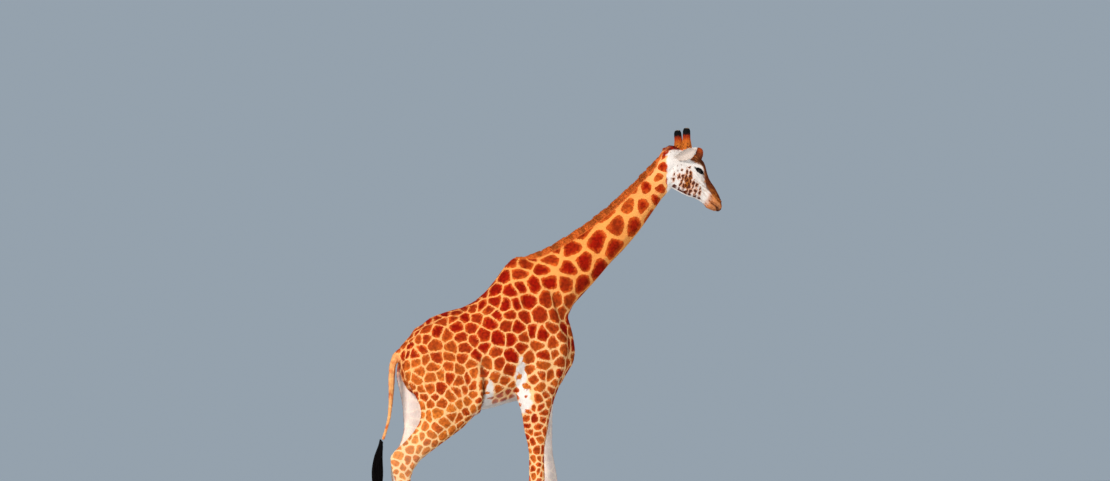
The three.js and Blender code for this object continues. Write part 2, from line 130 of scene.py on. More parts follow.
def middle(node):
    low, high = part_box(node)
    return (low + high) / 2


HEAD_HINGE = (middle("eye_left") + middle("eye_right")) / 2 - HEAD_TURN @ EYE_FROM_HINGE / 1000
TURN = np.array(HEAD_TURN)


def head_places(places):
    """Places in the head's own frame, in millimetres."""
    return (places - np.array(HEAD_HINGE)) @ TURN * 1000


def from_head(places):
    """The opposite of head_places."""
    return np.asarray(places, float) / 1000 @ TURN.T + np.array(HEAD_HINGE)


def on_head(places):
    """1 on the head, fading to 0 where the neck begins."""
    head = head_places(places)
    return ramp(head[:, 0], -150, -90) * ramp(head[:, 2], -330, -260)


# ---------------------------------------------------------------- meshes and arrays
def make_mesh(name, places, faces):
    """A mesh of faces that all have the same number of corners."""
    mesh = bpy.data.meshes.new(name)
    faces = np.ascontiguousarray(faces, np.int32)
    mesh.vertices.add(len(places))
    mesh.vertices.foreach_set("co", np.ascontiguousarray(places, np.float32).ravel())
    mesh.loops.add(faces.size)
    mesh.loops.foreach_set("vertex_index", faces.ravel())
    mesh.polygons.add(len(faces))
    mesh.polygons.foreach_set("loop_start", np.arange(len(faces), dtype=np.int32) * faces.shape[1])
    mesh.update(calc_edges=True)
    return mesh


def add_object(name, mesh):
    piece = bpy.data.objects.new(name, mesh)
    bpy.context.scene.collection.objects.link(piece)
    return piece


def smooth_shaded(piece):
    piece.data.polygons.foreach_set("use_smooth", np.ones(len(piece.data.polygons), bool))
    piece.data.update()


def read(source, field, width, kind=np.float32):
    """One field of all the vertices, edges, faces or stored values of a mesh, as an array."""
    values = np.zeros(len(source) * width, kind)
    source.foreach_get(field, values)
    return values.reshape(-1, width) if width > 1 else values


def mesh_places(mesh):
    return read(mesh.vertices, "co", 3).astype(float)


def mesh_normals(mesh):
    return read(mesh.vertices, "normal", 3).astype(float)


def set_places(mesh, places):
    mesh.vertices.foreach_set("co", np.ascontiguousarray(places, np.float32).ravel())
    mesh.update()


def triangles(mesh):
    mesh.calc_loop_triangles()
    return read(mesh.loop_triangles, "vertices", 3, np.int32)


def apply_modifiers(piece):
    evaluated = piece.evaluated_get(bpy.context.evaluated_depsgraph_get())
    mesh = bpy.data.meshes.new_from_object(evaluated)
    piece.modifiers.clear()
    old = piece.data
    piece.data = mesh
    bpy.data.meshes.remove(old)


def node_surface(node_names):
    """The places and the triangles of several solid nodes."""
    places, faces, count = [], [], 0
    for node in node_names:
        mesh = NODES[node].data
        places.append(mesh_places(mesh))
        faces.append(triangles(mesh) + count)
        count += len(mesh.vertices)
    return np.concatenate(places), np.concatenate(faces)


def joined_nodes(name, node_names):
    """One object with the meshes of several solid nodes."""
    return add_object(name, make_mesh(name, *node_surface(node_names)))


def remeshed(piece, grain):
    step = piece.modifiers.new("grain", "REMESH")
    step.mode = "VOXEL"
    step.voxel_size = grain
    apply_modifiers(piece)


def weigh(piece, name, weights, levels=12):
    """A vertex group with the given weights, rounded to a few levels."""
    group = piece.vertex_groups.new(name=name)
    level = np.rint(np.clip(weights, 0, 1) * levels).astype(int)
    for k in range(levels + 1):
        group.add(np.flatnonzero(level == k).tolist(), k / levels, "REPLACE")


def soften(piece, rounds, weights=None):
    step = piece.modifiers.new("soften", "SMOOTH")
    step.iterations = rounds
    step.factor = 0.5
    if weights is not None:
        weigh(piece, "soften", weights)
        step.vertex_group = "soften"
    apply_modifiers(piece)
    piece.vertex_groups.clear()


def largest_part(piece):
    """Keeps only the largest connected part of a mesh."""
    mesh = piece.data
    edges = read(mesh.edges, "vertices", 2, np.int32)
    label = np.arange(len(mesh.vertices))
    while True:
        least = np.minimum(label[edges[:, 0]], label[edges[:, 1]])
        before = label.copy()
        np.minimum.at(label, edges[:, 0], least)
        np.minimum.at(label, edges[:, 1], least)
        label = label[label]
        if (label == before).all():
            break
    kept = label == np.bincount(label).argmax()
    if kept.all():
        return
    faces = triangles(mesh)
    faces = faces[kept[faces].all(axis=1)]
    number = np.cumsum(kept) - 1
    piece.data = make_mesh(piece.name, mesh_places(mesh)[kept], number[faces])


# The kind and the field of a mesh's stored values, for each number of values at one place.
KINDS = {1: ("FLOAT", "value"), 3: ("FLOAT_VECTOR", "vector"), 4: ("FLOAT_COLOR", "color")}


def store(mesh, name, values, domain="POINT"):
    """Stores one value, vector or colour for each vertex or face."""
    values = np.ascontiguousarray(values, np.float32)
    kind, field = KINDS[1 if values.ndim == 1 else values.shape[1]]
    mesh.attributes.new(name, kind, domain).data.foreach_set(field, values.ravel())


def fetch(mesh, name, width):
    return read(mesh.attributes[name].data, KINDS[width][1], width).astype(float)


def ramp(values, low, high):
    """A smooth step from 0 at low to 1 at high."""
    share = np.clip((np.asarray(values, float) - low) / (high - low), 0, 1)
    return share * share * (3 - 2 * share)


def between(values, low, risen, falling, high):
    """1 from risen to falling, with smooth steps to 0 at low and at high."""
    return ramp(values, low, risen) * (1 - ramp(values, falling, high))


def unit(vectors):
    return vectors / np.maximum(np.linalg.norm(vectors, axis=-1, keepdims=True), 1e-9)


BELL_FALL = 2.5  # how fast a bell falls off: at its reach exp(-2.5) is left


def bell(places, at, reach):
    """1 at a place, fading to 0 at about the reach, which is one radius or three."""
    away = (places - np.asarray(at, float)) / np.asarray(reach, float)
    return np.exp(-BELL_FALL * np.einsum("ij,ij->i", away, away))


WAVE_COUNT = 6
WAVE_FINENESS = (0.7, 1.5)  # the coarsest and the finest wave, as shares of the scale's own
WAVE_HEIGHT = 3.5  # about the height of that many waves added up


def waves(places, scale, seed):
    """A smooth random value of about -1 to 1 at each place, from a few crossing waves."""
    draw = np.random.default_rng(seed)
    total = np.zeros(len(places))
    for _ in range(WAVE_COUNT):
        way = unit(draw.normal(size=3)) * draw.uniform(*WAVE_FINENESS)
        total += np.sin(places @ way * (2 * math.pi / scale) + draw.uniform(0, 2 * math.pi))
    return total / WAVE_HEIGHT


def blend(first, second):
    """The colour halfway between two."""
    return (np.array(first) + np.array(second)) / 2


# ---------------------------------------------------------------- zones of the coat
# The coat changes smoothly between zones, each named after its place. spacing is the size of a
# patch, stretch how much longer it is along the lean (degrees from level, in the side view), line
# the width of the net's lines, pale how white they are, light how washed out the patches are and
# lie the way the hair points (degrees from level, in the side view, with the animal facing 0).
Zone = namedtuple("Zone", "x z spacing stretch lean line pale light lie")
ZONES = (
    Zone(1.12, 3.84, 0.110, 1.2, 45, 0.022, 0.60, 0.05, 222),  # nape behind the head
    Zone(0.92, 3.58, 0.185, 1.0, 45, 0.034, 0.20, 0.08, 220),  # top of the neck
    Zone(0.42, 3.16, 0.235, 1.0, 45, 0.032, 0.10, 0.04, 216),  # middle of the neck
    Zone(0.08, 2.89, 0.190, 1.0, 45, 0.026, 0.15, 0.04, 212),  # base of the neck
    Zone(-0.20, 2.92, 0.135, 1.0, 30, 0.017, 0.20, 0.00, 225),  # withers
    Zone(-0.14, 2.53, 0.120, 1.3, 80, 0.013, 0.45, 0.08, 250),  # shoulder
    Zone(0.06, 2.35, 0.125, 1.3, 70, 0.013, 0.55, 0.16, 255),  # chest
    Zone(-0.11, 2.04, 0.108, 1.0, 80, 0.015, 0.85, 0.35, 265),  # upper arm
    Zone(-0.13, 1.82, 0.080, 1.0, 80, 0.013, 0.90, 0.35, 270),  # elbow
    Zone(-0.15, 1.56, 0.064, 1.2, 85, 0.010, 0.80, 0.22, 270),  # forearm
    Zone(-0.15, 1.20, 0.060, 1.2, 85, 0.010, 0.90, 0.45, 270),  # knee
    Zone(-0.49, 2.18, 0.088, 2.4, 78, 0.011, 0.55, 0.00, 235),  # ribs
    Zone(-0.61, 1.83, 0.072, 1.2, 70, 0.015, 1.00, 0.25, 230),  # lower ribs
    Zone(-0.64, 2.50, 0.098, 1.3, 20, 0.011, 0.35, 0.00, 215),  # back
    Zone(-1.03, 2.44, 0.090, 1.3, 20, 0.010, 0.35, 0.02, 205),  # croup
    Zone(-1.32, 2.26, 0.088, 1.1, 45, 0.011, 0.40, 0.10, 230),  # rump
    Zone(-0.99, 2.09, 0.106, 1.1, 60, 0.011, 0.45, 0.42, 245),  # upper thigh
    Zone(-1.25, 1.95, 0.092, 1.1, 60, 0.011, 0.55, 0.42, 250),  # rear of the thigh
    Zone(-1.05, 1.74, 0.080, 1.1, 60, 0.010, 0.65, 0.60, 255),  # lower thigh
    Zone(-1.22, 1.56, 0.070, 1.2, 40, 0.012, 1.00, 0.60, 245),  # gaskin
    Zone(-1.48, 1.30, 0.062, 1.3, 60, 0.014, 1.20, 0.70, 260),  # hock
)
ZONE_REACH = 0.17


def zone_values(places):
    """The zone values at each place, as a Zone of arrays."""
    table = np.array(ZONES, float)
    away = (places[:, None, 0] - table[:, 0]) ** 2 + (places[:, None, 2] - table[:, 1]) ** 2
    share = np.exp(-(away - away.min(axis=1, keepdims=True)) / (2 * ZONE_REACH**2))
    share /= share.sum(axis=1, keepdims=True)
    return Zone(*(share @ table).T)


# The large patches of the neck's right side: place in the side view.
NECK_PATCHES = (
    (0.89, 3.64), (1.02, 3.73), (1.05, 3.81), (1.10, 3.69), (1.03, 3.62), (0.99, 3.52), (0.93, 3.40),
    (0.85, 3.45), (0.71, 3.48), (0.60, 3.32), (0.41, 3.16), (0.16, 3.08), (0.26, 2.95), (0.11, 2.88),
    (0.76, 3.27), (0.56, 3.07), (0.25, 2.77), (-0.05, 2.97), (-0.08, 2.80), (-0.23, 2.76),
    (-0.12, 2.64), (0.12, 2.60), (-0.28, 2.95), (-0.36, 2.84), (0.65, 3.54), (0.52, 3.40), (0.29, 3.24),
)  # fmt: skip
NECK_PATCH_ROOM = 0.11  # no other patch has its middle this near to one of these

PATCH_TRIES = 30000
MOST_PATCHES = 4000
RIGHT_FACING = -0.2  # skin whose normal points further to the right than this is the right side's
EVENINGS = 1  # how often the patches' sizes are evened out
PACKING = 0.72**2  # how near two patches may be, squared, as a share of the spacing


def spread_patches(places, normals):
    """The middles of the coat's patches: seeded places on the skin that keep their zone's distance."""
    draw = np.random.default_rng(sizes().seed)
    order = draw.permutation(len(places))[:PATCH_TRIES]
    zone = zone_values(places)
    lean = np.radians(zone.lean)
    along = np.stack([np.cos(lean), np.zeros(len(places)), np.sin(lean)], axis=1)
    seeds = np.zeros((MOST_PATCHES, 3))
    room = np.zeros(MOST_PATCHES)
    right = places[normals[:, 1] < RIGHT_FACING]
    for k, (x, z) in enumerate(NECK_PATCHES):
        seeds[k] = right[np.argmin((right[:, 0] - x) ** 2 + (right[:, 2] - z) ** 2)]
        room[k] = NECK_PATCH_ROOM
    count = len(NECK_PATCHES)
    for k in order:
        gap = places[k] - seeds[:count]
        far = gap @ along[k]
        squared = np.einsum("ij,ij->i", gap, gap) - far**2 * (1 - 1 / zone.stretch[k] ** 2)
        if (squared < np.maximum(zone.spacing[k], room[:count]) ** 2 * PACKING).any():
            continue
        seeds[count] = places[k]
        count += 1
    return evened(seeds[:count], len(NECK_PATCHES), places[order])


def evened(seeds, fixed, sample):
    """Moves each patch's middle, past the fixed ones, to the mean of its patch's own places."""
    for _ in range(EVENINGS):
        nearest = nearest_patches(sample, seeds)[:, 0]
        count = np.bincount(nearest, minlength=len(seeds))
        total = np.stack([np.bincount(nearest, sample[:, k], len(seeds)) for k in range(3)], axis=1)
        moved = count > 0
        moved[:fixed] = False
        seeds[moved] = total[moved] / count[moved, None]
    return seeds


# ---------------------------------------------------------------- the solid frame's parts
FLESH = ("foreleg_", "hindleg_", "trunk_", "neck_", "head", "ear_", "tail_dock")
FILLERS = ("eye_", "ossicone_", "brow_horn", "mane_")


def nodes_named(*starts):
    return [name for name in NODES if name.startswith(starts)]


def node_tree(*starts):
    """A tree of the surface of the named solid nodes, for finding near places and hits."""
    places, faces = node_surface(nodes_named(*starts))
    return BVHTree.FromPolygons(places.tolist(), faces.tolist())


def close_to(places, reach, *starts):
    """Which places lie within reach of the named solid nodes."""
    tree = node_tree(*starts)
    boxes = [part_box(name) for name in nodes_named(*starts)]
    low = np.min([b[0] for b in boxes], axis=0) - reach
    high = np.max([b[1] for b in boxes], axis=0) + reach
    mask = ((places > low) & (places < high)).all(axis=1)
    for k in np.flatnonzero(mask):
        mask[k] = tree.find_nearest(Vector(places[k]), reach)[0] is not None
    return mask


# ---------------------------------------------------------------- shaping the skin
# Each horn's line from its foot to its tip, in the head's frame, and the share of it that the skin
# holds: left, right and brow.
HORN_LINES = (
    ((66, 55, 100), (-96, 75, 294), 0.45),
    ((66, -55, 100), (-96, -75, 294), 0.45),
    ((184, 0, 130), (160, 0, 288), 0.55),
)
HORN_REACH = 62.0  # how far from its line a horn's skin lies at most
STUB = {"narrow": 0.7, "flat": 0.05}  # how much thinner and lower the pressed length ends up


def sink_horns(places):
    """Presses the horns' upper lengths into short stubs, which the horns themselves cover."""
    head = head_places(places)
    for foot, tip, share in HORN_LINES:
        foot, tip = np.array(foot, float), np.array(tip, float)
        size = np.linalg.norm(tip - foot)
        way = (tip - foot) / size
        along = (head - foot) @ way
        off = head - foot - along[:, None] * way
        over = along - share * size
        near = (np.linalg.norm(off, axis=1) < HORN_REACH) & (over > 0)
        narrow = 1 - STUB["narrow"] * ramp(over[near], 0, size * (1 - share))
        flat = share * size + STUB["flat"] * over[near]
        head[near] = foot + flat[:, None] * way + off[near] * narrow[:, None]
    return from_head(head)


def softness(places):
    """How much the skin is smoothed at each place, from 0 to 1."""
    weight = 0.24 + 0.76 * ramp(places[:, 2], 1.62, 2.05)
    weight *= 1 - 0.55 * ramp(places[:, 0] + places[:, 2], 2.6, 3.2)
    weight *= 1 - 0.78 * on_head(places)
    weight[close_to(places, 0.012, "ear_", "tail_dock")] = 0.03
    weight[close_to(places, 0.012, "mane_")] = 0.8
    return weight


def spread_values(mesh, values, rounds):
    """A vertex value averaged with its neighbours', again and again."""
    edges = read(mesh.edges, "vertices", 2, np.int32)
    ends, others = np.concatenate([edges, edges[:, ::-1]]).T
    count = np.bincount(ends, minlength=len(values))
    for _ in range(rounds):
        around = np.bincount(ends, values[others], len(values)) / np.maximum(count, 1)
        values = (values + around) / 2
    return values


SAME_WAY = 0.6  # how alike a face of a solid and the skin over it must face, as a cosine
FIT_REACH = 0.06  # how far from the skin a solid is looked for
FEATURE_REACH = 0.03  # skin this near to a horn, an eye or the mane mostly stays where it is
FEATURE_SHARE = 0.3  # the share of its way that it moves
LEAST_SURE = 0.1  # the least share of sure neighbours that a move is divided by


def fit_under(skin, rounds=32):
    """Moves the skin in or out, smoothly, to the coat's depth below the solid body."""
    tree = node_tree(*FLESH)
    places, normals = mesh_places(skin.data), mesh_normals(skin.data)
    rise = np.zeros(len(places))
    sure = np.zeros(len(places))
    for k, place in enumerate(places):
        found, out, _, _ = tree.find_nearest(Vector(place), FIT_REACH)
        if found is not None and out.dot(Vector(normals[k])) > SAME_WAY:
            rise[k] = -out.dot(Vector(place) - found)
            sure[k] = 1.0
    rise[close_to(places, FEATURE_REACH, *FILLERS)] *= FEATURE_SHARE
    rise = spread_values(skin.data, (rise - coat_depth(places)) * sure, rounds)
    rise /= np.maximum(spread_values(skin.data, sure, rounds), LEAST_SURE)
    set_places(skin.data, places + normals * rise[:, None])


def coat_depth(places):
    """How far the skin lies inside the solid body."""
    legs = 1 - ramp(places[:, 2], 1.1, 1.7)
    return sizes().coat_depth * (1 - 0.7 * np.maximum(on_head(places), legs * 0.8))


# Swellings and hollows of the body: place, reach along x, y and z, and height. Each stands on both
# sides.
BODY_SHAPES = (
    ((-0.13, 0.24, 2.62), (0.09, 0.10, 0.30), 0.010),  # spine of the shoulder blade
    ((-0.30, 0.24, 2.62), (0.07, 0.12, 0.26), -0.012),  # behind the shoulder blade
    ((0.03, 0.22, 2.26), (0.12, 0.14, 0.14), 0.016),  # point of the shoulder
    ((-0.02, 0.12, 2.72), (0.10, 0.12, 0.22), -0.010),  # before the shoulder
    ((-0.20, 0.30, 2.02), (0.10, 0.12, 0.18), 0.010),  # triceps
    ((-0.33, 0.26, 1.96), (0.06, 0.12, 0.16), -0.020),  # armpit
    ((-0.83, 0.22, 2.32), (0.10, 0.14, 0.12), -0.018),  # flank hollow
    ((-0.94, 0.16, 2.44), (0.09, 0.09, 0.06), 0.014),  # point of the hip
    ((-1.33, 0.14, 2.20), (0.07, 0.08, 0.08), 0.010),  # seat bone
    ((-1.02, 0.30, 2.05), (0.18, 0.12, 0.20), 0.008),  # thigh muscle
    ((-0.76, 0.26, 1.80), (0.06, 0.12, 0.10), 0.010),  # stifle
    ((-1.28, 0.22, 1.80), (0.05, 0.14, 0.26), -0.008),  # groove of the hamstrings
)
# The same on the legs: the joint, or the two that it lies halfway between, then place (y outwards),
# reach and height.
FORELEG_SHAPES = (
    (("cannon",), (0.045, 0, 0.03), (0.04, 0.05, 0.05), 0.007),  # front of the knee
    (("cannon",), (-0.05, 0, 0.06), (0.03, 0.04, 0.04), 0.006),  # back of the knee
)
HINDLEG_SHAPES = (
    (("cannon",), (-0.085, 0, 0.05), (0.045, 0.04, 0.05), 0.006),  # point of the hock
    (("cannon",), (-0.035, 0.05, 0.12), (0.035, 0.03, 0.12), -0.009),  # outer hollow over the hock
    (("cannon",), (-0.035, -0.05, 0.12), (0.035, 0.03, 0.12), -0.009),  # inner hollow
)
BOTH_LEG_SHAPES = (
    (("pastern",), (-0.05, 0, 0.02), (0.035, 0.05, 0.045), 0.006),  # back of the fetlock
    (("cannon", "pastern"), (-0.005, -0.04, 0), (0.014, 0.02, 0.26), -0.004),  # inner tendon groove
    (("cannon", "pastern"), (-0.005, 0.04, 0), (0.014, 0.02, 0.26), -0.004),  # outer tendon groove
)
LEG_SHAPES = {"foreleg": FORELEG_SHAPES + BOTH_LEG_SHAPES, "hindleg": HINDLEG_SHAPES + BOTH_LEG_SHAPES}
# The fold between thigh and flank: its line in the side view, from the top down.
FOLD_LINE = ((-0.82, 2.30), (-0.771, 2.14), (-0.730, 1.98), (-0.716, 1.85), (-0.712, 1.62))
FOLD = {"width": 0.013, "depth": 0.022, "lip": 0.016, "lip_width": 0.05, "start": (0.02, 0.30)}
FOLD_SIDE = 0.10  # the fold lies further out than this
FAR_OFF = 9.0
# The ribs: where they begin and end, softly, along x and z, the gap between two, height and slant.
RIBS = {
    "x": (-0.78, -0.66, -0.42, -0.30),
    "z": (1.80, 1.95, 2.30, 2.50),
    "gap": 0.052,
    "height": 0.0022,
    "slant": 0.35,
}


def swell(places, normals, at, reach, height):
    places += normals * (height * bell(places, at, reach))[:, None]


def from_fold(places):
    """How far before the flank's fold each place lies, and how far down the fold."""
    line = np.array(FOLD_LINE)
    away = places[:, 0] - np.interp(-places[:, 2], -line[:, 1], line[:, 0])
    along = line[0, 1] - places[:, 2]
    beside = (np.abs(places[:, 1]) > FOLD_SIDE) & (places[:, 2] > line[-1, 1])
    return np.where(beside, away, FAR_OFF), along


def leg_joint(node):
    """The middle of the top of one length of a leg, where a joint is."""
    places = mesh_places(NODES[node].data)
    return places[places[:, 2] > places[:, 2].max() - 0.05].mean(axis=0)


def shape_body(places, normals):
    """Muscles, hollows, ribs and joints on the trunk and legs."""
    for at, reach, height in BODY_SHAPES:
        for side in SIDES.values():
            swell(places, normals, np.array(at) * (1, side, 1), reach, height)
    ribs = between(places[:, 0], *RIBS["x"]) * between(places[:, 2], *RIBS["z"])
    slanted = places[:, 0] + RIBS["slant"] * (places[:, 2] - RIBS["z"][0])
    wave = np.sin(slanted * 2 * math.pi / RIBS["gap"])
    places += normals * (RIBS["height"] * ribs * wave)[:, None]
    away, along = from_fold(places)
    deep = ramp(along, *FOLD["start"])
    places -= normals * (FOLD["depth"] * deep * np.exp(-((away / FOLD["width"]) ** 2)))[:, None]
    lip = np.exp(-(((away + FOLD["lip_width"]) / FOLD["lip_width"]) ** 2))
    places += normals * (FOLD["lip"] * deep * lip)[:, None]
    for side in SIDES:
        for leg, shapes in LEG_SHAPES.items():
            for joints, at, reach, height in shapes:
                joint = np.mean([leg_joint(f"{leg}_{side}_{part}") for part in joints], axis=0)
                outwards = (1, np.sign(joint[1]), 1)
                swell(places, normals, joint + np.array(at) * outwards, reach, height)


# Swellings and hollows of the head's left side, in the head's frame: place, reach and height.
FACE_SHAPES = (
    ((228, 88, 104), (50, 26, 16), 10.0),  # brow over the eye
    ((292, 82, 56), (28, 22, 26), -9.0),  # before the eye
    ((226, 102, 8), (46, 20, 12), 5.0),  # bag under the eye
    ((320, 82, 6), (95, 24, 13), 9.0),  # cheekbone
    ((310, 80, -34), (90, 30, 18), -6.0),  # under the cheekbone
    ((150, 94, -92), (76, 40, 64), 10.0),  # jaw muscle
    ((248, 76, -96), (30, 30, 46), -8.0),  # before the jaw muscle
    ((110, 96, 92), (40, 24, 34), -12.0),  # temple
    ((20, 84, -120), (28, 34, 70), -10.0),  # behind the jaw
    ((410, 64, -30), (90, 28, 26), -8.0),  # side of the nose
    ((440, 50, 44), (110, 22, 16), 4.0),  # edge of the nose bone
    ((450, 0, 66), (110, 60, 46), 8.0),  # ridge of the nose
    ((588, 48, -38), (40, 28, 26), 8.0),  # upper lip
    ((520, 54, -30), (34, 26, 30), -4.0),  # before the lips
    ((560, 46, -90), (52, 26, 14), 6.0),  # lower lip
    ((596, 46, 26), (26, 18, 16), 7.0),  # wing of the nostril
    ((-104, 34, 30), (34, 26, 34), 15.0),  # knob of the poll
    ((52, 40, 168), (40, 34, 26), 4.0),  # foot of the horn
)
# The mouth's line: its corner (x), height there (z) and rise to the front, its slow wave, its depth
# and half width, and the lips' swelling beside it.
MOUTH = {
    "corner": 494.0,
    "start": 14.0,
    "height": -60.0,
    "rise": 0.10,
    "wave": 5.0,
    "wave_scale": 32.0,
    "depth": 8.0,
    "width": 5.0,
    "lip": 2.0,
    "lip_off": 2.2,
}
NOSTRIL = {
    "at": (600.0, 46.0, 36.0),
    "half_length": 20.0,
    "half_height": 6.0,
    "tilt": 0.5,
    "depth": 17.0,
    "thickness": 26.0,
    "rim": 3.0,
    "rim_off": 1.8,
}


def mouth_line(x):
    """How high the mouth's line lies, without its wave."""
    return MOUTH["height"] + MOUTH["rise"] * (x - MOUTH["corner"])


def shape_head(places, normals):
    """The bones, muscles, mouth and nostrils of the head."""
    head = head_places(places)
    rise = np.zeros(len(places))
    for at, reach, height in FACE_SHAPES:
        for side in SIDES.values():
            rise += height * bell(head, np.array(at) * (1, side, 1), reach)
    share = ramp(head[:, 0], MOUTH["corner"], MOUTH["corner"] + MOUTH["start"])
    wave = MOUTH["wave"] * np.sin((head[:, 0] - MOUTH["corner"]) / MOUTH["wave_scale"])
    gap = (head[:, 2] - mouth_line(head[:, 0]) - wave) / MOUTH["width"]
    lips = MOUTH["lip"] * np.exp(-((np.abs(gap) - MOUTH["lip_off"]) ** 2))
    rise += share * (lips - MOUTH["depth"] * np.exp(-(gap**2)))
    for side in SIDES.values():
        away = head - np.array(NOSTRIL["at"]) * (1, side, 1)
        along = (away[:, 0] + NOSTRIL["tilt"] * away[:, 2]) / NOSTRIL["half_length"]
        across = (away[:, 2] - NOSTRIL["tilt"] * away[:, 0]) / NOSTRIL["half_height"]
        slit = along**2 + across**2
        near = np.abs(away[:, 1]) < NOSTRIL["thickness"]
        rim = NOSTRIL["rim"] * np.exp(-3 * (np.sqrt(slit) - NOSTRIL["rim_off"]) ** 2)
        rise += near * (rim - NOSTRIL["depth"] * np.exp(-1.2 * slit))
    places += normals * (rise / 1000)[:, None]


# An eye's opening in the lids: half its length, its height above and below the eye's middle.
EYE_OPENING = {"half_length": 26.0, "above": 15.0, "below": 12.5, "slant": 0.20}
LID_THICK = 3.2
LID_REACH = 48.0
LID_EDGE = (0.88, 1.08)  # where the opening ends and the lid begins, in the outline's measure
LID_FOLD = {"at": 1.75, "width": 0.16, "depth": 1.6}  # the crease over the eye
BEHIND_LIDS = 6.0  # how far the skin in the opening lies below the eyeball's surface


def eye_outline(away):
    """How far a place by an eye lies from the middle of its opening: below 1 is inside it."""
    height = away[:, 2] - EYE_OPENING["slant"] * away[:, 0]
    half = np.where(height > 0, EYE_OPENING["above"], EYE_OPENING["below"])
    return np.sqrt((away[:, 0] / EYE_OPENING["half_length"]) ** 2 + (height / half) ** 2)


def eye_places():
    """The middle of each eyeball in the head's frame, with its side."""
    return [(head_places(np.array([middle(f"eye_{name}")]))[0], side) for name, side in SIDES.items()]


def open_eyes(places):
    """Draws the skin over each eyeball into lids round an opening."""
    head = head_places(places)
    for eye, side in eye_places():
        away = head - eye
        far = np.linalg.norm(away, axis=1)
        near = (far < LID_REACH) & (away[:, 1] * side > 0)
        outline = eye_outline(away[near])
        opened = 1 - ramp(outline, *LID_EDGE)
        fold = np.exp(-(((outline - LID_FOLD["at"]) / LID_FOLD["width"]) ** 2)) * (away[near, 2] > 0)
        lid = EYE_RADIUS + LID_THICK - LID_FOLD["depth"] * fold
        wide = np.maximum(far[near], lid)
        new = opened * (EYE_RADIUS - BEHIND_LIDS) + (1 - opened) * wide
        head[near] = eye + away[near] * (new / far[near])[:, None]
    return from_head(head)


# ---------------------------------------------------------------- painting the skin
# Dark spots of the cheek and jaw in the head's frame: x, z, half length and half width. They are
# long in the way from the ear's root to the jaw.
FACE_SPOTS = (
    (116, -118, 15, 7), (179, -146, 13, 7), (216, -142, 14, 8), (137, 8, 9, 6), (142, -38, 15, 7),
    (169, -84, 22, 8), (144, -99, 18, 6), (196, -40, 24, 8), (205, -90, 18, 9), (246, -109, 22, 11),
    (262, -64, 17, 7), (303, -52, 14, 7), (336, -96, 15, 8), (378, -74, 12, 7), (66, -138, 9, 6),
    (98, -170, 10, 6), (300, -124, 14, 8), (226, -122, 12, 6), (92, -60, 7, 4), (272, -148, 13, 6),
    (172, -20, 10, 5), (228, -68, 15, 5), (288, -88, 12, 5), (158, -128, 10, 5), (350, -50, 9, 5),
)  # fmt: skip
SPOT_WAY = (0.66, -0.75)
# Dark spots along the jaw's lower edge: x and z.
JAW_SPOTS = ((150, -196), (208, -183), (269, -165), (314, -150), (372, -122), (414, -101), (240, -176))


def cover(tint, paint, share):
    """Paints a colour over the skin's own, as far as share says at each place."""
    share = np.clip(np.asarray(share, float), 0, 1)
    total = share + tint[:, 3] * (1 - share)
    left = (tint[:, 3] * (1 - share) / np.maximum(total, 1e-6))[:, None]
    tint[:, :3] = np.array(paint) * (1 - left) + tint[:, :3] * left
    tint[:, 3] = total


def paint_body(tint, places, normals):
    """White hair of the belly, armpits and inner legs, the pale lower legs and painted shade in the
    flank's fold.
    """
    hair = colours()
    x, y, z = places.T
    inner = ramp(-np.sign(y) * normals[:, 1], 0.15, 0.6)
    below = 1 - ramp(z, 1.85, 2.05)
    worn = 0.92 + 0.08 * waves(places, 0.05, 5)
    cover(tint, hair.white, 0.9 * worn * inner * below)
    belly = ramp(-normals[:, 2], 0.60, 0.92) * (z > 1.5) * (z < 2.0) * (x > -1.0)
    cover(tint, hair.white, 0.92 * worn * belly)
    away, along = from_fold(places)
    # Painted shade in the fold between flank and thigh: brown, and darker further down the fold.
    fold_shade = np.exp(-((away / (1.1 * FOLD["width"])) ** 2)) * ramp(along, 0.08, 0.30)
    cover(tint, hair.brown, 0.9 * fold_shade)
    cover(tint, hair.spot, 0.8 * fold_shade * ramp(along, 0.35, 0.55))
    faded = ramp(-x, 1.05, 1.35) * (1 - ramp(z, 1.25, 1.65))
    cover(tint, np.array(hair.line_cream) * 1.05, 0.20 * faded)
    stocking = 1 - ramp(z + 0.05 * waves(places, 0.3, 8), 0.72, 1.02)
    cover(tint, blend(hair.white, hair.line_cream), 0.97 * stocking)
    foot = 1 - ramp(z, 0.10, 0.20)
    cover(tint, blend(hair.brown, hair.line_cream), 0.35 * foot)
    cover(tint, hair.mane, close_to(places, 0.012, "mane_"))
    dock = ramp(-x, 1.40, 1.46) * (z < 2.15) * (np.abs(y) < 0.06)
    cover(tint, blend(hair.line_orange, hair.line_cream), 0.8 * dock)
    cover(tint, hair.patch_rim, 0.8 * dock * ramp(waves(places, 0.07, 21), 0.35, 0.6))


# Lines on the face, in the head's frame: where the neck's pattern ends (z, x), how far up the side
# of the nose its brown stripe begins (x, z), where the crown's dark hair begins (x, z), and the half
# width of the nose's darkest strip of brown hair, deepened by painted shade (x, y).
FACE_REAR = (
    (-300, 150), (-254, 88), (-216, 42), (-165, -4), (-100, -66), (-40, -98), (20, -104), (120, -104)
)  # fmt: skip
STRIPE_EDGE = (
    (84, 116), (108, 80), (150, 82), (200, 100), (243, 110), (300, 66), (347, 32), (418, 8), (560, -8)
)  # fmt: skip
CROWN_EDGE = ((-110, -5), (-60, 62), (0, 98), (60, 112))
NOSE_HAIR_AND_SHADE_HALF = ((150, 98), (300, 88), (420, 64), (520, 56))
PALE_HAIR = (0.92, 0.72, 0.52)  # the white hair's colour times this is cream


def on_line(line, values):
    """The height of a line of corners at each value along it."""
    return np.interp(values, *np.transpose(line))


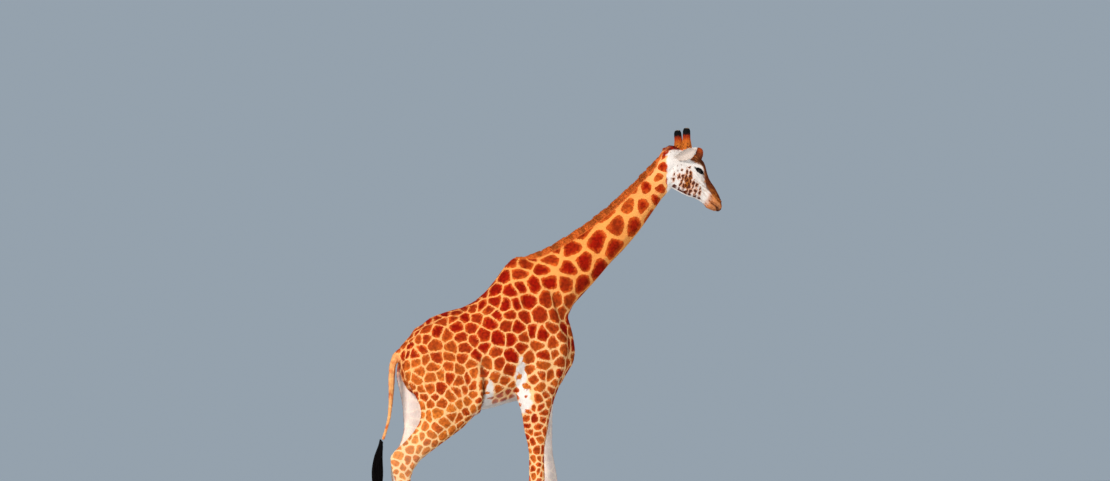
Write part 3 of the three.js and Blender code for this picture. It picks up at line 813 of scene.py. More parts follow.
class Face:
    """The head's places in its own frame, with the rough values that break its colours' edges."""

    def __init__(self, places):
        self.places = places
        self.head = head_places(places)
        self.x, self.y, self.z = self.head.T
        self.wide = np.abs(self.y)
        self.rough = waves(places, 0.035, 3)
        self.fine = waves(places, 0.014, 27)
        self.streaky = waves(self.head * (0.35, 1, 1) / 1000, 0.026, 6)
        self.whole = on_head(places)
        rear = on_line(FACE_REAR, self.z)
        self.front = ramp(self.x + 10 * self.rough + 4 * self.fine - rear, -10, 12) * self.whole


def paint_white(tint, face):
    """The white of the face, with tan streaks on the cheek and flecks behind it."""
    hair = colours()
    cover(tint, hair.white, face.front)
    tan = np.array(hair.white) * (0.66, 0.52, 0.42)
    streaks = ramp(face.streaky + 0.5 * face.fine, -0.6, 0.6)
    cover(tint, tan, 0.85 * streaks * bell(face.head, (385, 0, 0), (220, 400, 150)) * face.front)
    flecks = ramp(waves(face.places, 0.045, 14), 0.72, 0.95) * (1 - ramp(face.x, 60, 120))
    cover(tint, hair.brown, 0.55 * flecks * face.front)


def paint_crown(tint, face):
    """The dark red hair between and behind the horns."""
    hair = colours()
    crown = ramp(face.z - on_line(CROWN_EDGE, face.x) + 7 * face.rough, -8, 10)
    crown *= (1 - ramp(face.x, 60, 140)) * face.whole
    cover(tint, hair.horn, crown)
    cover(tint, hair.patch_core, crown * ramp(-face.x, -10, 40))
    dark = ramp(waves(face.places, 0.04, 15) + 0.8 * (face.x < -20), 0.3, 0.9)
    cover(tint, hair.spot, 0.85 * crown * dark)
    for foot, tip, _ in HORN_LINES[:2]:
        way = unit(np.array(tip, float) - foot)
        off = face.head - foot
        along = off @ way
        off = off - along[:, None] * way
        near = 1 - ramp(np.linalg.norm(off, axis=1) + 5 * face.rough, 36, 54)
        cover(tint, hair.horn, near * ramp(along, -40, -10))


def paint_nose(tint, face):
    """The brown brow and nose with painted shade on its front, the orange lips and the dark line of the
    mouth.
    """
    hair = colours()
    x, z, fine = face.x, face.z, face.fine
    stripe = ramp(z - on_line(STRIPE_EDGE, x) + 8 * face.rough + 4 * fine, -8, 12)
    stripe *= between(x, 82, 104, 600, 650) * face.whole
    cover(tint, hair.muzzle, 0.95 * stripe)
    edge = face.streaky + 0.5 * fine
    edge += 1.3 * (1 - ramp(face.wide, 34, 52)) + 1.1 * (1 - ramp(x, 215, 270))
    cover(tint, hair.brown, 0.9 * stripe * ramp(edge, 0.1, 0.7))
    # The darkest strip down the nose's front: dark brown hair under painted shade, where the face's
    # front turns from the light.
    half = on_line(NOSE_HAIR_AND_SHADE_HALF, x)
    nose_hair_and_shade = 1 - ramp(face.wide + 5 * face.rough, half - 9, half + 9)
    cover(tint, np.array(hair.brown) * 0.45, 0.85 * stripe * nose_hair_and_shade * ramp(x, 150, 200))
    glint = bell(face.head, (208, 0, 112), (34, 400, 12))
    cover(tint, np.array(hair.white) * (0.9, 0.72, 0.5), 0.7 * glint * (face.wide > 60))
    lips = ramp(x + 0.30 * (z + 40) + 14 * face.rough + 8 * fine, 440, 520) * face.front
    cover(tint, hair.muzzle, 0.92 * lips)
    pale = ramp(waves(face.places, 0.030, 28) + 0.5 * fine, 0.15, 0.7) * (z < 20)
    cover(tint, np.array(hair.white) * PALE_HAIR, 0.12 * lips * pale)
    cover(tint, hair.brown, 0.75 * lips * ramp(face.streaky + 0.8 * fine, 0.35, 1.0))
    # The ridge of the nose: more dark brown hair with painted shade, as wide as that darkest strip.
    ridge = nose_hair_and_shade * ramp(x, 230, 320) * (z > 0) * face.whole
    cover(tint, hair.brown, 0.92 * ridge)
    cover(tint, hair.spot, 0.6 * ridge * ramp(face.streaky, -0.4, 0.5))
    cover(tint, hair.spot, 0.85 * ramp(x - 0.2 * z, 636, 658) * face.front)
    mouth = np.exp(-(((z - mouth_line(x)) / 9) ** 2)) * ramp(x, 506, 540)
    cover(tint, hair.spot, 0.85 * mouth * face.front)


LEFT_SHIFT = 14.0  # how much further forward the left cheek's spots lie than the right one's


def paint_cheek(tint, face, side):
    """The dark spots of one side's cheek and jaw, on mottled hair, and its nostril."""
    hair = colours()
    here = (face.y * side > 12) * face.front
    mottled = ramp(waves(face.places, 0.018, 18) + 0.3 * face.rough, 0.2, 0.8)
    mottled *= bell(face.head, (230, side * 80, -92), (190, 400, 84))
    cover(tint, np.array(hair.white) * PALE_HAIR * (0.8, 0.6, 0.4), 0.6 * mottled * here)
    x = face.x - (LEFT_SHIFT if side > 0 else 0.0) + 7 * face.rough + 4 * face.fine
    z = face.z + 8 * waves(face.places, 0.030, 29) - 4 * face.fine
    for spot_x, spot_z, long, broad in FACE_SPOTS:
        along = (x - spot_x) * SPOT_WAY[0] + (z - spot_z) * SPOT_WAY[1]
        across = (z - spot_z) * SPOT_WAY[0] - (x - spot_x) * SPOT_WAY[1]
        away = (along / (1.1 * long)) ** 2 + (across / (1.5 * broad)) ** 2
        cover(tint, hair.muzzle, 0.70 * (1 - ramp(away, 1.6, 4.4)) * here)
        cover(tint, hair.spot, 0.95 * (1 - ramp(away, 0.9, 1.9)) * here)
    for spot_x, spot_z in JAW_SPOTS:
        away = ((x - spot_x) / 17) ** 2 + ((z - spot_z) / 9) ** 2
        cover(tint, hair.brown, 0.6 * (1 - ramp(away, 1.5, 3.5)) * here)
        cover(tint, hair.spot, 0.95 * (1 - ramp(away, 0.7, 1.6)) * here)
    cover(tint, hair.spot, 1.2 * bell(face.head, np.array(NOSTRIL["at"]) * (1, side, 1), (30, 24, 17)))


def paint_eye_rims(tint, face):
    """The black rims of the eyes, drawn out to the front and the rear."""
    for eye, side in eye_places():
        away = face.head - eye
        near = (np.linalg.norm(away, axis=1) < 1.5 * LID_REACH) & (away[:, 1] * side > -20)
        rim = 1 - ramp(eye_outline(away), 1.55, 2.05)
        fore = bell(away, (42, 0, 12), (28, 60, 13))
        hind = bell(away, (-44, 0, -9), (30, 60, 13))
        cover(tint, colours().black, near * np.maximum(rim, 1.8 * np.maximum(fore, hind)))


def paint_head(tint, places):
    """White face with a brown brow and nose, orange lips, dark spots and dark rims to the eyes."""
    face = Face(places)
    paint_white(tint, face)
    paint_crown(tint, face)
    paint_nose(tint, face)
    for side in SIDES.values():
        paint_cheek(tint, face, side)
    paint_eye_rims(tint, face)


EAR_INSIDE = (0.72, 0.60, 0.52)  # the white hair's colour times this is that of the ear's inside


def paint_ears(tint, places, normals):
    """White ears, duller inside."""
    hair = colours()
    ears = close_to(places, 0.008, "ear_") & (np.abs(head_places(places)[:, 1]) > 96)
    cover(tint, hair.white, ears)
    inside = ears * ramp(-(normals @ TURN)[:, 2], 0.2, 0.7)
    cover(tint, np.array(hair.white) * EAR_INSIDE, 0.6 * inside)


# ---------------------------------------------------------------- patches of the coat
NEAREST = 5  # how many patches' middles each place of the coat knows
# The slow waves that bend the net.
BEND = {"scale": 0.16, "width": 0.010, "seed": 31}


def nearest_patches(places, seeds, chunk=4000):
    """The numbers of the nearest patch middles of each place, nearest first."""
    found = np.zeros((len(places), NEAREST), int)
    for start in range(0, len(places), chunk):
        part = places[start : start + chunk]
        squared = ((part[:, None] - seeds) ** 2).sum(axis=2)
        near = np.argpartition(squared, NEAREST, axis=1)[:, :NEAREST]
        order = np.argsort(np.take_along_axis(squared, near, axis=1), axis=1)
        found[start : start + chunk] = np.take_along_axis(near, order, axis=1)
    return found


def coat_space(places):
    """Places bent by slow waves, so that the net's lines aren't straight."""
    bend = np.stack([waves(places, BEND["scale"], BEND["seed"] + k) for k in range(3)], axis=1)
    return places + BEND["width"] * bend


class Skin:
    """The skin's arrays, which the coat is laid on."""

    def __init__(self, piece):
        mesh = piece.data
        self.places = mesh_places(mesh)
        self.normals = mesh_normals(mesh)
        self.faces = triangles(mesh)
        self.tint = fetch(mesh, "tint", 4)
        self.net = fetch(mesh, "net", 3)
        self.coat_place = fetch(mesh, "coat_place", 3)
        self.patch = np.stack([fetch(mesh, f"patch_{k}", 3) for k in range(NEAREST)], axis=1)
        self.tone = fetch(mesh, "tone", 1)
        self.map = read(mesh.uv_layers["OFBake"].data, "uv", 2).astype(float).reshape(-1, 3, 2)


# ---------------------------------------------------------------- making and marking the skin
def piece_named(name):
    return bpy.data.objects[name]


def hand_over(piece, slot, *nodes):
    """Ties a finished piece to the body and hides the solid nodes it stands for; its slot is not used.
    """
    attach(piece, "root")
    if nodes:
        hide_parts(*nodes)


def halve_edges(piece, chosen, **settings):
    """Halves the edges of a piece for which chosen(edge) holds."""
    work = bmesh.new()
    work.from_mesh(piece.data)
    edges = [edge for edge in work.edges if chosen(edge)]
    bmesh.ops.subdivide_edges(work, edges=edges, cuts=1, **settings)
    bmesh.ops.triangulate(work, faces=[face for face in work.faces if len(face.verts) > 3])
    work.to_mesh(piece.data)
    work.free()


def refine(piece, region, times):
    """Halves the edges in a region, several times."""
    for _ in range(times):
        inside = region(mesh_places(piece.data))
        halve_edges(piece, lambda edge: all(inside[end.index] for end in edge.verts), use_grid_fill=True)


SKIN_ROUNDS = 90  # how often the first skin is smoothed
THINNED = 0.130  # the share of the skin's faces that is kept
THIN_ROUNDS = 3  # how often the thinned skin is smoothed
LONGEST_EDGE = 0.050
EDGE_CUTS = 2  # how often the long edges are halved


def cut_long_edges(piece):
    """Halves every edge that is too long for the net to be worked out on its faces."""
    for _ in range(EDGE_CUTS):
        halve_edges(piece, lambda edge: edge.calc_length() > LONGEST_EDGE)


def by_the_eyes(places):
    head = head_places(places)
    near = [np.linalg.norm(head - eye, axis=1) < LID_REACH for eye, _ in eye_places()]
    return np.any(near, axis=0)


def by_the_mouth(places):
    return (head_places(places)[:, 0] > 490) & (on_head(places) > 0.5)


def by_the_cheek(places):
    x, _, z = head_places(places).T
    return (x > 60) & (x < 400) & (z < 20) & (z > -215) & (on_head(places) > 0.9)


UNWRAP_ANGLE = math.radians(66)
UNWRAP_GAP = 0.0006  # the space between two islands of the map


def unwrap(piece):
    """Unwraps a mesh by the lie of its faces, into the map that a baked finish uses."""
    piece.data.uv_layers.new(name="OFBake")
    bpy.context.view_layer.objects.active = piece
    piece.select_set(True)
    bpy.ops.object.mode_set(mode="EDIT")
    bpy.ops.mesh.select_all(action="SELECT")
    bpy.ops.uv.smart_project(angle_limit=UNWRAP_ANGLE, island_margin=UNWRAP_GAP)
    bpy.ops.object.mode_set(mode="OBJECT")
    piece.select_set(False)


def make_skin():
    """The bare skin: one closed mesh over all the flesh, shaped but not yet painted."""
    skin = joined_nodes("skin", nodes_named(*FLESH, *FILLERS))
    remeshed(skin, sizes().grain)
    set_places(skin.data, sink_horns(mesh_places(skin.data)))
    soften(skin, SKIN_ROUNDS, softness(mesh_places(skin.data)))
    weigh(skin, "body", 1 - on_head(mesh_places(skin.data)))
    thin = skin.modifiers.new("thin", "DECIMATE")
    thin.vertex_group = "body"
    thin.vertex_group_factor = 1.0
    thin.ratio = THINNED
    apply_modifiers(skin)
    skin.vertex_groups.clear()
    largest_part(skin)
    cut_long_edges(skin)
    soften(skin, THIN_ROUNDS, 1 - on_head(mesh_places(skin.data)))
    fit_under(skin)
    refine(skin, by_the_eyes, 2)
    refine(skin, by_the_mouth, 1)
    refine(skin, by_the_cheek, 1)
    places = mesh_places(skin.data)
    normals = mesh_normals(skin.data)
    shape_body(places, normals)
    shape_head(places, normals)
    set_places(skin.data, open_eyes(places))
    return skin


# Where the coat is thin, each side: place and reach. The net's lines grow white and wide there.
THIN_PLACES = (
    ((-0.375, 0.30, 1.98), (0.10, 0.30, 0.26)),  # armpit
    ((-0.330, 0.28, 1.74), (0.09, 0.30, 0.16)),  # behind the elbow
    ((-0.660, 0.26, 1.78), (0.07, 0.30, 0.30)),  # flank before the thigh
    ((-0.520, 0.10, 1.64), (0.30, 0.30, 0.12)),  # edge of the belly
)
THIN_WIDER = 0.013  # how much wider the half of a line is there
THIN_PALER = 1.6  # how much paler the lines are there
THIN_LIGHTER = 0.6  # how much more washed out the patches are there
WHITE = 2.0  # the palest that a line can be


def thin_coat(places):
    """How thin the coat is at each place, from 0 to 1."""
    total = np.zeros(len(places))
    for at, reach in THIN_PLACES:
        for side in SIDES.values():
            total += bell(places, np.array(at) * (1, side, 1), reach)
    return ramp(total * (1 + 0.25 * waves(places, 0.07, 12)), 0.25, 0.85)


def mark_skin(skin):
    """Stores the coat's markings on the skin: the net's patches and the painted colours."""
    mesh = skin.data
    places, normals, faces = mesh_places(mesh), mesh_normals(mesh), triangles(mesh)
    tint = np.zeros((len(places), 4))
    paint_body(tint, places, normals)
    paint_head(tint, places)
    paint_ears(tint, places, normals)
    store(mesh, "tint", tint * np.where(np.arange(4) < 3, tint[:, 3:], 1))
    zone = zone_values(places)
    bare = thin_coat(places)
    half = zone.line / 2 + THIN_WIDER * bare
    pale = np.minimum(zone.pale + THIN_PALER * bare, WHITE)
    store(mesh, "net", np.stack([half, pale, zone.light + THIN_LIGHTER * bare], axis=1))
    bent = coat_space(places)
    store(mesh, "coat_place", bent)
    seeds = spread_patches(bent, normals)
    near = nearest_patches(bent[faces].mean(axis=1), seeds)
    for k in range(NEAREST):
        store(mesh, f"patch_{k}", seeds[near[:, k]], "FACE")
    tones = np.random.default_rng(sizes().seed + 1).uniform(size=len(seeds))
    store(mesh, "tone", tones[near[:, 0]], "FACE")


# ---------------------------------------------------------------- locks of hair
class Roots:
    """Random places on the skin, and what the skin holds there."""

    def __init__(self, skin, weight, count, draw):
        corners = skin.places[skin.faces]
        across = np.cross(corners[:, 1] - corners[:, 0], corners[:, 2] - corners[:, 0])
        area = np.linalg.norm(across, axis=1)
        chance = area * weight[skin.faces].mean(axis=1)
        self.skin = skin
        self.face = draw.choice(len(chance), count, p=chance / chance.sum())
        first, second = draw.uniform(size=(2, count))
        over = first + second > 1
        first[over] = 1 - first[over]
        second[over] = 1 - second[over]
        self.share = np.stack([1 - first - second, first, second], axis=1)

    def mixed(self, values):
        """A value of the skin's vertices at each root."""
        return np.einsum("ij,ijk->ik", self.share, values[self.skin.faces[self.face]])

    def looks(self):
        """The markings at each root, and its place on the skin's unwrap."""
        skin = self.skin
        net = self.mixed(skin.net)
        patch = skin.patch[self.face]
        return {
            "edge": patch_edge(self.mixed(skin.coat_place), patch, net[:, 0]),
            "tone": skin.tone[self.face],
            "net": net,
            "tint": self.mixed(skin.tint),
            "map": np.einsum("ij,ijk->ik", self.share, skin.map[self.face]),
        }


# The patches' corners are the rounder, the wider the lines of the net are.
CORNER_SHARP = 2.6
CORNER_LEAST = 0.004
LEAST_CROWD = 1e-9  # keeps the logarithm finite where one patch is much the nearest


def patch_edge(places, patches, half):
    """How far inside its own patch each place lies, where the lines have that half width."""
    sharp = CORNER_SHARP / (half + CORNER_LEAST)
    away = np.linalg.norm(places[:, None] - patches, axis=2)
    least = away.min(axis=1, keepdims=True)
    crowd = np.exp(-sharp[:, None] * (away - least) / 2).sum(axis=1) - 1
    return -np.log(np.maximum(crowd, LEAST_CROWD)) / sharp - half


# A lock's rings: share of its length, share of its width, and how far it lifts off the skin.
SHORT_LOCK = ((0.0, 1.0, 0.0), (1.0, 0.0, 1.0))
LONG_LOCK = ((0.0, 0.8, 0.0), (0.35, 1.0, 0.14), (0.75, 0.6, 0.58), (1.0, 0.0, 1.0))
MAP_PATCH = 0.003  # the width of a lock's patch in the map of a baked finish
LOCK_FLATNESS = 0.6  # a lock's height as a share of its width
LOCK_ROUNDNESS = 0.3  # how far a flat lock's upper faces are shaded to either side


def sleeve_faces(bands):
    """The faces of a three-sided sleeve of so many bands, with a point at its end."""
    faces = []
    for start in range(0, 3 * bands, 3):
        for k in range(3):
            a, b = start + k, start + (k + 1) % 3
            faces += [(a, b + 3, b), (a, a + 3, b + 3)]
    last = 3 * bands
    faces += [(last + k, last + 3, last + (k + 1) % 3) for k in range(3)]
    return faces


def repeated_mesh(name, places, faces):
    """A mesh of many like bodies, from one array for each corner of them all and the faces of one."""
    first = (np.arange(len(places[0])) * len(places))[:, None, None]
    corners = (first + np.array(faces)).reshape(-1, 3)
    return make_mesh(name, np.stack(places, axis=1).reshape(-1, 3), corners)


def locks(name, roots, ways, outs, lengths, widths, lifts, looks, rings=SHORT_LOCK, flat=False):
    """Three-sided tapering locks as one mesh. Each runs along its way and lifts towards its out.

    Flat ones, which have two rings only, are shaded like the skin that they lie on.
    """
    aside = unit(np.cross(ways, outs))
    corner = [math.pi / 2 + 2 * math.pi * k / 3 for k in range(3)]
    places = []
    for far, wide, lift in rings[:-1]:
        spine = roots + ways * (lengths * far)[:, None] + outs * (lifts * lift)[:, None]
        for turn in corner:
            off = aside * math.cos(turn) + outs * math.sin(turn) * LOCK_FLATNESS
            places.append(spine + off * (widths * wide / 2)[:, None])
    places.append(roots + ways * lengths[:, None] + outs * (lifts * rings[-1][2])[:, None])
    each = len(places)
    faces = [(0, 1, 2), *sleeve_faces(len(rings) - 2)]
    count = len(roots)
    mesh = repeated_mesh(name, places, faces)
    spread = np.repeat(np.arange(count), each)
    for key, values in looks.items():
        if key != "map":
            store(mesh, key, values[spread])
    end = np.tile(np.concatenate([np.repeat([r[0] for r in rings[:-1]], 3), [1.0]]), count)
    store(mesh, "along", end)
    map_hairs(mesh, looks["map"], len(faces))
    if flat:
        lean = np.array([LOCK_ROUNDNESS * math.cos(turn) for turn in corner] + [0.0])
        upper = outs[:, None] + aside[:, None] * lean[:, None]
        shown = np.repeat(-outs[:, None], 3 * len(faces), axis=1)
        for face in (1, 3):
            shown[:, 3 * face : 3 * face + 3] = upper[:, list(faces[face])]
        mesh.polygons.foreach_set("use_smooth", np.ones(len(mesh.polygons), bool))
        mesh.normals_split_custom_set(unit(shown.reshape(-1, 3)))
    return add_object(name, mesh)


def map_hairs(mesh, middles, each):
    """The map for a baked finish: a small patch for each hair's faces, at its root's own place."""
    corners = MAP_PATCH * (np.array([(0, 0), (1, 0), (0.5, 1)]) - 0.5)
    spots = np.broadcast_to(middles[:, None, None] + corners, (len(middles), each, 3, 2))
    layer = mesh.uv_layers.new(name="OFBake")
    layer.data.foreach_set("uv", np.ascontiguousarray(spots, np.float32).ravel())


def lie_of_coat(places, normals):
    """The way that the hair points at each place, along the skin."""
    angle = np.radians(zone_values(places).lie)
    way = np.stack([np.cos(angle), np.zeros(len(places)), np.sin(angle)], axis=1)
    share = on_head(places)[:, None]
    way = way * (1 - share) - np.array(HEAD_TURN.col[0]) * share
    way -= normals * np.einsum("ij,ij->i", way, normals)[:, None]
    return unit(way)


# ---------------------------------------------------------------- materials
class Shader:
    """A material and short calls that add its nodes."""

    def __init__(self, name, roughness, gloss=0.5):
        self.material = bpy.data.materials.new(name)
        self.material.use_nodes = True
        self.nodes = self.material.node_tree.nodes
        self.links = self.material.node_tree.links
        self.surface = self.nodes["Principled BSDF"]
        self.surface.inputs["Roughness"].default_value = roughness
        self.surface.inputs["Specular IOR Level"].default_value = gloss

    def plug(self, socket, value):
        if isinstance(value, bpy.types.NodeSocket):
            self.links.new(value, socket)
        else:
            socket.default_value = value

    def node(self, kind, inputs=(), **settings):
        node = self.nodes.new(kind)
        for key, value in settings.items():
            setattr(node, key, value)
        for key, value in dict(inputs).items():
            self.plug(node.inputs[key], value)
        return node

    def maths(self, operation, first, second=0.0, third=0.0):
        inputs = {0: first, 1: second, 2: third}
        return self.node("ShaderNodeMath", inputs, operation=operation).outputs[0]

    def vectors(self, operation, first, second):
        node = self.node("ShaderNodeVectorMath", {0: first, 1: second}, operation=operation)
        return node.outputs["Value" if operation == "DISTANCE" else "Vector"]

    def attribute(self, name, output="Fac"):
        return self.node("ShaderNodeAttribute", attribute_name=name).outputs[output]

    def split(self, vector):
        return self.node("ShaderNodeSeparateXYZ", {0: vector}).outputs

    def jitter(self, noise, width):
        """A noise moved to lie about 0, with the given width."""
        return self.maths("MULTIPLY", self.maths("SUBTRACT", noise, 0.5), width)

    def shaded(self, colour_socket, share):
        """A colour made darker or lighter by a share."""
        grey = self.node("ShaderNodeCombineColor", {0: share, 1: share, 2: share}).outputs[0]
        return self.mix(1.0, colour_socket, grey, "MULTIPLY")

    def step(self, value, low, high, start=0.0, end=1.0):
        """A smooth step from start at low to end at high."""
        inputs = {"Value": value, "From Min": low, "From Max": high, "To Min": start, "To Max": end}
        return self.node("ShaderNodeMapRange", inputs, interpolation_type="SMOOTHSTEP").outputs[0]

    def noise(self, scale, place=None, detail=2.0, output="Fac"):
        inputs = {"Scale": scale, "Detail": detail}
        inputs["Vector"] = place if place is not None else self.place()
        return self.node("ShaderNodeTexNoise", inputs).outputs[output]

    def place(self):
        return self.node("ShaderNodeTexCoord").outputs["Object"]

    def mix(self, share, first, second, blend="MIX"):
        """A mix of two colours. A mix node's colours are its inputs 6 and 7 and its output 2."""
        node = self.node("ShaderNodeMix", {0: share}, data_type="RGBA", blend_type=blend)
        for number, paint in ((6, first), (7, second)):
            linked = isinstance(paint, bpy.types.NodeSocket)
            self.plug(node.inputs[number], paint if linked else (*paint, 1.0))
        return node.outputs[2]

    def bump(self, height, distance, strength=1.0):
        inputs = {"Strength": strength, "Distance": distance, "Height": height}
        self.links.new(self.node("ShaderNodeBump", inputs).outputs[0], self.surface.inputs["Normal"])

    def paint(self, colour_socket):
        self.links.new(colour_socket, self.surface.inputs["Base Color"])
        return self.material


# How far in from its rim a patch darkens: least, and for each metre of a line's half width.
RIM_DEPTH = (0.009, 1.7)
RAGGED = 0.010  # how far the patches' rims wander
RIM_SOFT = 0.0028  # half the width of the fade between a patch and a line
CORE_RAGGED = (0.030, 0.045)  # how far the dark cores' rims wander, finely and broadly
# How far a patch is washed out: for its light and its tone, for its tone alone, and in its core.
WASH = {"tone": 0.9, "least": 0.55, "spread": 0.30, "shift": -0.15, "core": 0.72}


def coat_colour(shader, edge, tone, net, tint, tint_share):
    """The coat's colour: patches and lines of the net, under what is painted over them."""
    hair = colours()
    half, pale, light = net
    fine = shader.noise(60.0, detail=3.0)
    inside = shader.step(shader.maths("ADD", edge, shader.jitter(fine, RAGGED)), -RIM_SOFT, RIM_SOFT)
    depth = shader.maths("ADD", edge, shader.jitter(fine, CORE_RAGGED[0]))
    depth = shader.maths("ADD", depth, shader.jitter(shader.noise(24.0, detail=4.0), CORE_RAGGED[1]))
    rim = shader.maths("MULTIPLY_ADD", half, RIM_DEPTH[1], RIM_DEPTH[0])
    core = shader.step(depth, 0.0, rim)
    dark = shader.mix(core, hair.patch_rim, hair.patch_core)
    washed = shader.maths("MULTIPLY_ADD", tone, WASH["tone"], WASH["least"])
    washed = shader.maths("MULTIPLY", light, washed)
    spread = shader.maths("MULTIPLY_ADD", tone, WASH["spread"], WASH["shift"])
    washed = shader.node("ShaderNodeClamp", {"Value": shader.maths("ADD", washed, spread)}).outputs[0]
    washed = shader.maths("MULTIPLY", washed, shader.step(core, 0.0, 1.0, 1.0, WASH["core"]))
    patch = shader.mix(washed, dark, hair.patch_light)
    patch = shader.shaded(patch, shader.step(shader.noise(38.0, detail=5.0), 0.36, 0.62, 0.70, 1.10))
    line = shader.mix(shader.step(pale, 0.0, 1.0), hair.line_orange, hair.line_cream)
    line = shader.mix(shader.step(pale, 1.0, 1.8), line, hair.white)
    net_colour = shader.mix(inside, line, patch)
    whole = shader.mix(1.0, shader.mix(tint_share, net_colour, (0.0, 0.0, 0.0)), tint, "ADD")
    hairs = shader.step(shader.noise(220.0, detail=2.0), 0.3, 0.7, 0.86, 1.06)
    broad = shader.step(shader.noise(7.0, detail=3.0), 0.3, 0.7, 0.93, 1.05)
    return shader.shaded(whole, shader.maths("MULTIPLY", hairs, broad))


WARP = 0.028  # how far the skin's net is bent by a noise of its own


def edge_of_net(shader, half):
    """How far inside its own patch a place of the skin lies, as in patch_edge."""
    warp = shader.noise(18.0, detail=4.0, output="Color")
    warp = shader.vectors("SUBTRACT", warp, (0.5, 0.5, 0.5))
    warp = shader.vectors("MULTIPLY", warp, (WARP, WARP, WARP))
    place = shader.vectors("ADD", shader.attribute("coat_place", "Vector"), warp)
    middles = [shader.attribute(f"patch_{k}", "Vector") for k in range(NEAREST)]
    away = [shader.vectors("DISTANCE", place, one) for one in middles]
    least = away[0]
    for other in away[1:]:
        least = shader.maths("MINIMUM", least, other)
    sharp = shader.maths("DIVIDE", -CORNER_SHARP, shader.maths("ADD", half, CORNER_LEAST))
    half_sharp = shader.maths("MULTIPLY", sharp, 0.5)
    crowd = -1.0
    for one in away:
        gap = shader.maths("MULTIPLY", shader.maths("SUBTRACT", one, least), half_sharp)
        crowd = shader.maths("ADD", shader.maths("EXPONENT", gap), crowd)
    crowd = shader.maths("LOGARITHM", shader.maths("MAXIMUM", crowd, LEAST_CROWD), math.e)
    return shader.maths("SUBTRACT", shader.maths("DIVIDE", crowd, sharp), half)


def strands(shader, across, along, strength):
    """The bump of short hair that lies down: noise that is drawn out along z."""
    scale = (across, across, along)
    drawn = shader.node("ShaderNodeMapping", {"Vector": shader.place(), "Scale": scale}).outputs[0]
    shader.bump(shader.noise(1.0, drawn, 3.0), 0.002, strength)


def skin_material():
    """Short smooth hair on the skin, with the net worked out from the patches' middles."""
    shader = Shader("Giraffe skin", roughness=0.75, gloss=0.03)
    net = shader.split(shader.attribute("net", "Vector"))
    tint = shader.node("ShaderNodeAttribute", attribute_name="tint").outputs
    edge = edge_of_net(shader, net[0])
    seen = coat_colour(shader, edge, shader.attribute("tone"), net, tint["Color"], tint["Alpha"])
    strands(shader, 260.0, 60.0, 0.6)
    return shader.paint(seen)


def tuft_material():
    """Tufts of short hair in the colour of the skin at their roots."""
    shader = Shader("Giraffe coat", roughness=0.70, gloss=0.05)
    net = shader.split(shader.attribute("net", "Vector"))
    tint = shader.node("ShaderNodeAttribute", attribute_name="tint").outputs
    edge, tone = shader.attribute("edge"), shader.attribute("tone")
    seen = coat_colour(shader, edge, tone, net, tint["Color"], tint["Alpha"])
    shader.bump(shader.noise(500.0), 0.0006, 0.4)
    return shader.paint(seen)


def hair_material(name, tips, fade=0.25):
    """Long hair in its own painted colour, which changes to another past a share of its length."""
    shader = Shader(name, roughness=0.75, gloss=0.02)
    share = shader.step(shader.attribute("along"), fade, 1.0)
    both = shader.mix(share, shader.attribute("tint", "Color"), tips)
    shader.bump(shader.noise(600.0), 0.0008, 0.5)
    return shader.paint(shader.shaded(both, shader.step(shader.noise(180.0), 0.3, 0.7, 0.75, 1.15)))


def horn_material():
    """Short hair on the horns, painted from the foot to the bald tip."""
    shader = Shader("Giraffe horn", roughness=0.7, gloss=0.06)
    speckle = shader.step(shader.noise(90.0, detail=3.0), 0.42, 0.6, 0.72, 1.08)
    strands(shader, 300.0, 80.0, 0.7)
    return shader.paint(shader.shaded(shader.attribute("tint", "Color"), speckle))


# Colours that lie within the hooves and the eyes.
HOOF_RING = (0.16, 0.12, 0.09)
HOOF_DUST = (0.30, 0.23, 0.17)
IRIS_THREAD = (0.036, 0.015, 0.007)
EYE_BALL = (0.020, 0.014, 0.011)
PUPIL_COLOUR = (0.002, 0.002, 0.002)


def hoof_material():
    """Dark dusty horn with growth rings."""
    shader = Shader("Giraffe hoof", roughness=0.48)
    rings = shader.node(
        "ShaderNodeTexWave",
        {"Vector": shader.place(), "Scale": 22.0, "Distortion": 2.5, "Detail": 2.0},
        bands_direction="Z",
    ).outputs["Fac"]
    dust = shader.step(shader.noise(28.0, detail=4.0), 0.45, 0.7, 0.0, 0.6)
    base = shader.mix(shader.step(rings, 0.2, 0.8, 0.0, 0.35), colours().hoof, HOOF_RING)
    shader.bump(shader.maths("ADD", rings, shader.noise(120.0)), 0.0012, 0.6)
    return shader.paint(shader.mix(dust, base, HOOF_DUST))


def eye_material():
    """A wet dark eye with a broad level pupil and a brown iris."""
    shader = Shader("Giraffe eye", roughness=0.05, gloss=0.18)
    iris = shader.attribute("iris")
    pupil = shader.attribute("pupil")
    threads = shader.noise(700.0, detail=3.0)
    brown = shader.mix(shader.step(threads, 0.35, 0.65, 0.0, 0.5), colours().eye, IRIS_THREAD)
    ball = shader.mix(shader.step(iris, 0.92, 1.04), brown, EYE_BALL)
    return shader.paint(shader.mix(shader.step(pupil, 0.9, 1.1), PUPIL_COLOUR, ball))


# ---------------------------------------------------------------- the pieces
def material_on(piece, material):
    piece.data.materials.clear()
    piece.data.materials.append(material)


class GIRAFFE_OT_skin(bpy.types.Operator):
    """Makes the skin over all the flesh and paints the coat's markings on it"""

    bl_idname = "giraffe.skin"
    bl_label = "Skin"

    def execute(self, context):
        skin = make_skin()
        mark_skin(skin)
        unwrap(skin)
        smooth_shaded(skin)
        material_on(skin, skin_material())
        hand_over(skin, "coat", *nodes_named(*FLESH))
        return {"FINISHED"}


EYE_LOOK = (0.25, 1.0, 0.10)  # the way that the left eye looks, in the head's frame
EYE_ROOM = 0.5  # how much smaller the ball is than its node
IRIS_RADIUS = 18.0
PUPIL_HALF = (9.5, 5.0)
# The cornea: how far it rises, the most that the ball grows, and where it begins and ends.
CORNEA = {"height": 0.06, "most": 1.02, "edge": (0.5, 1.1)}
UNSEEN = 2.0  # the measure of iris and pupil on the rear of the ball


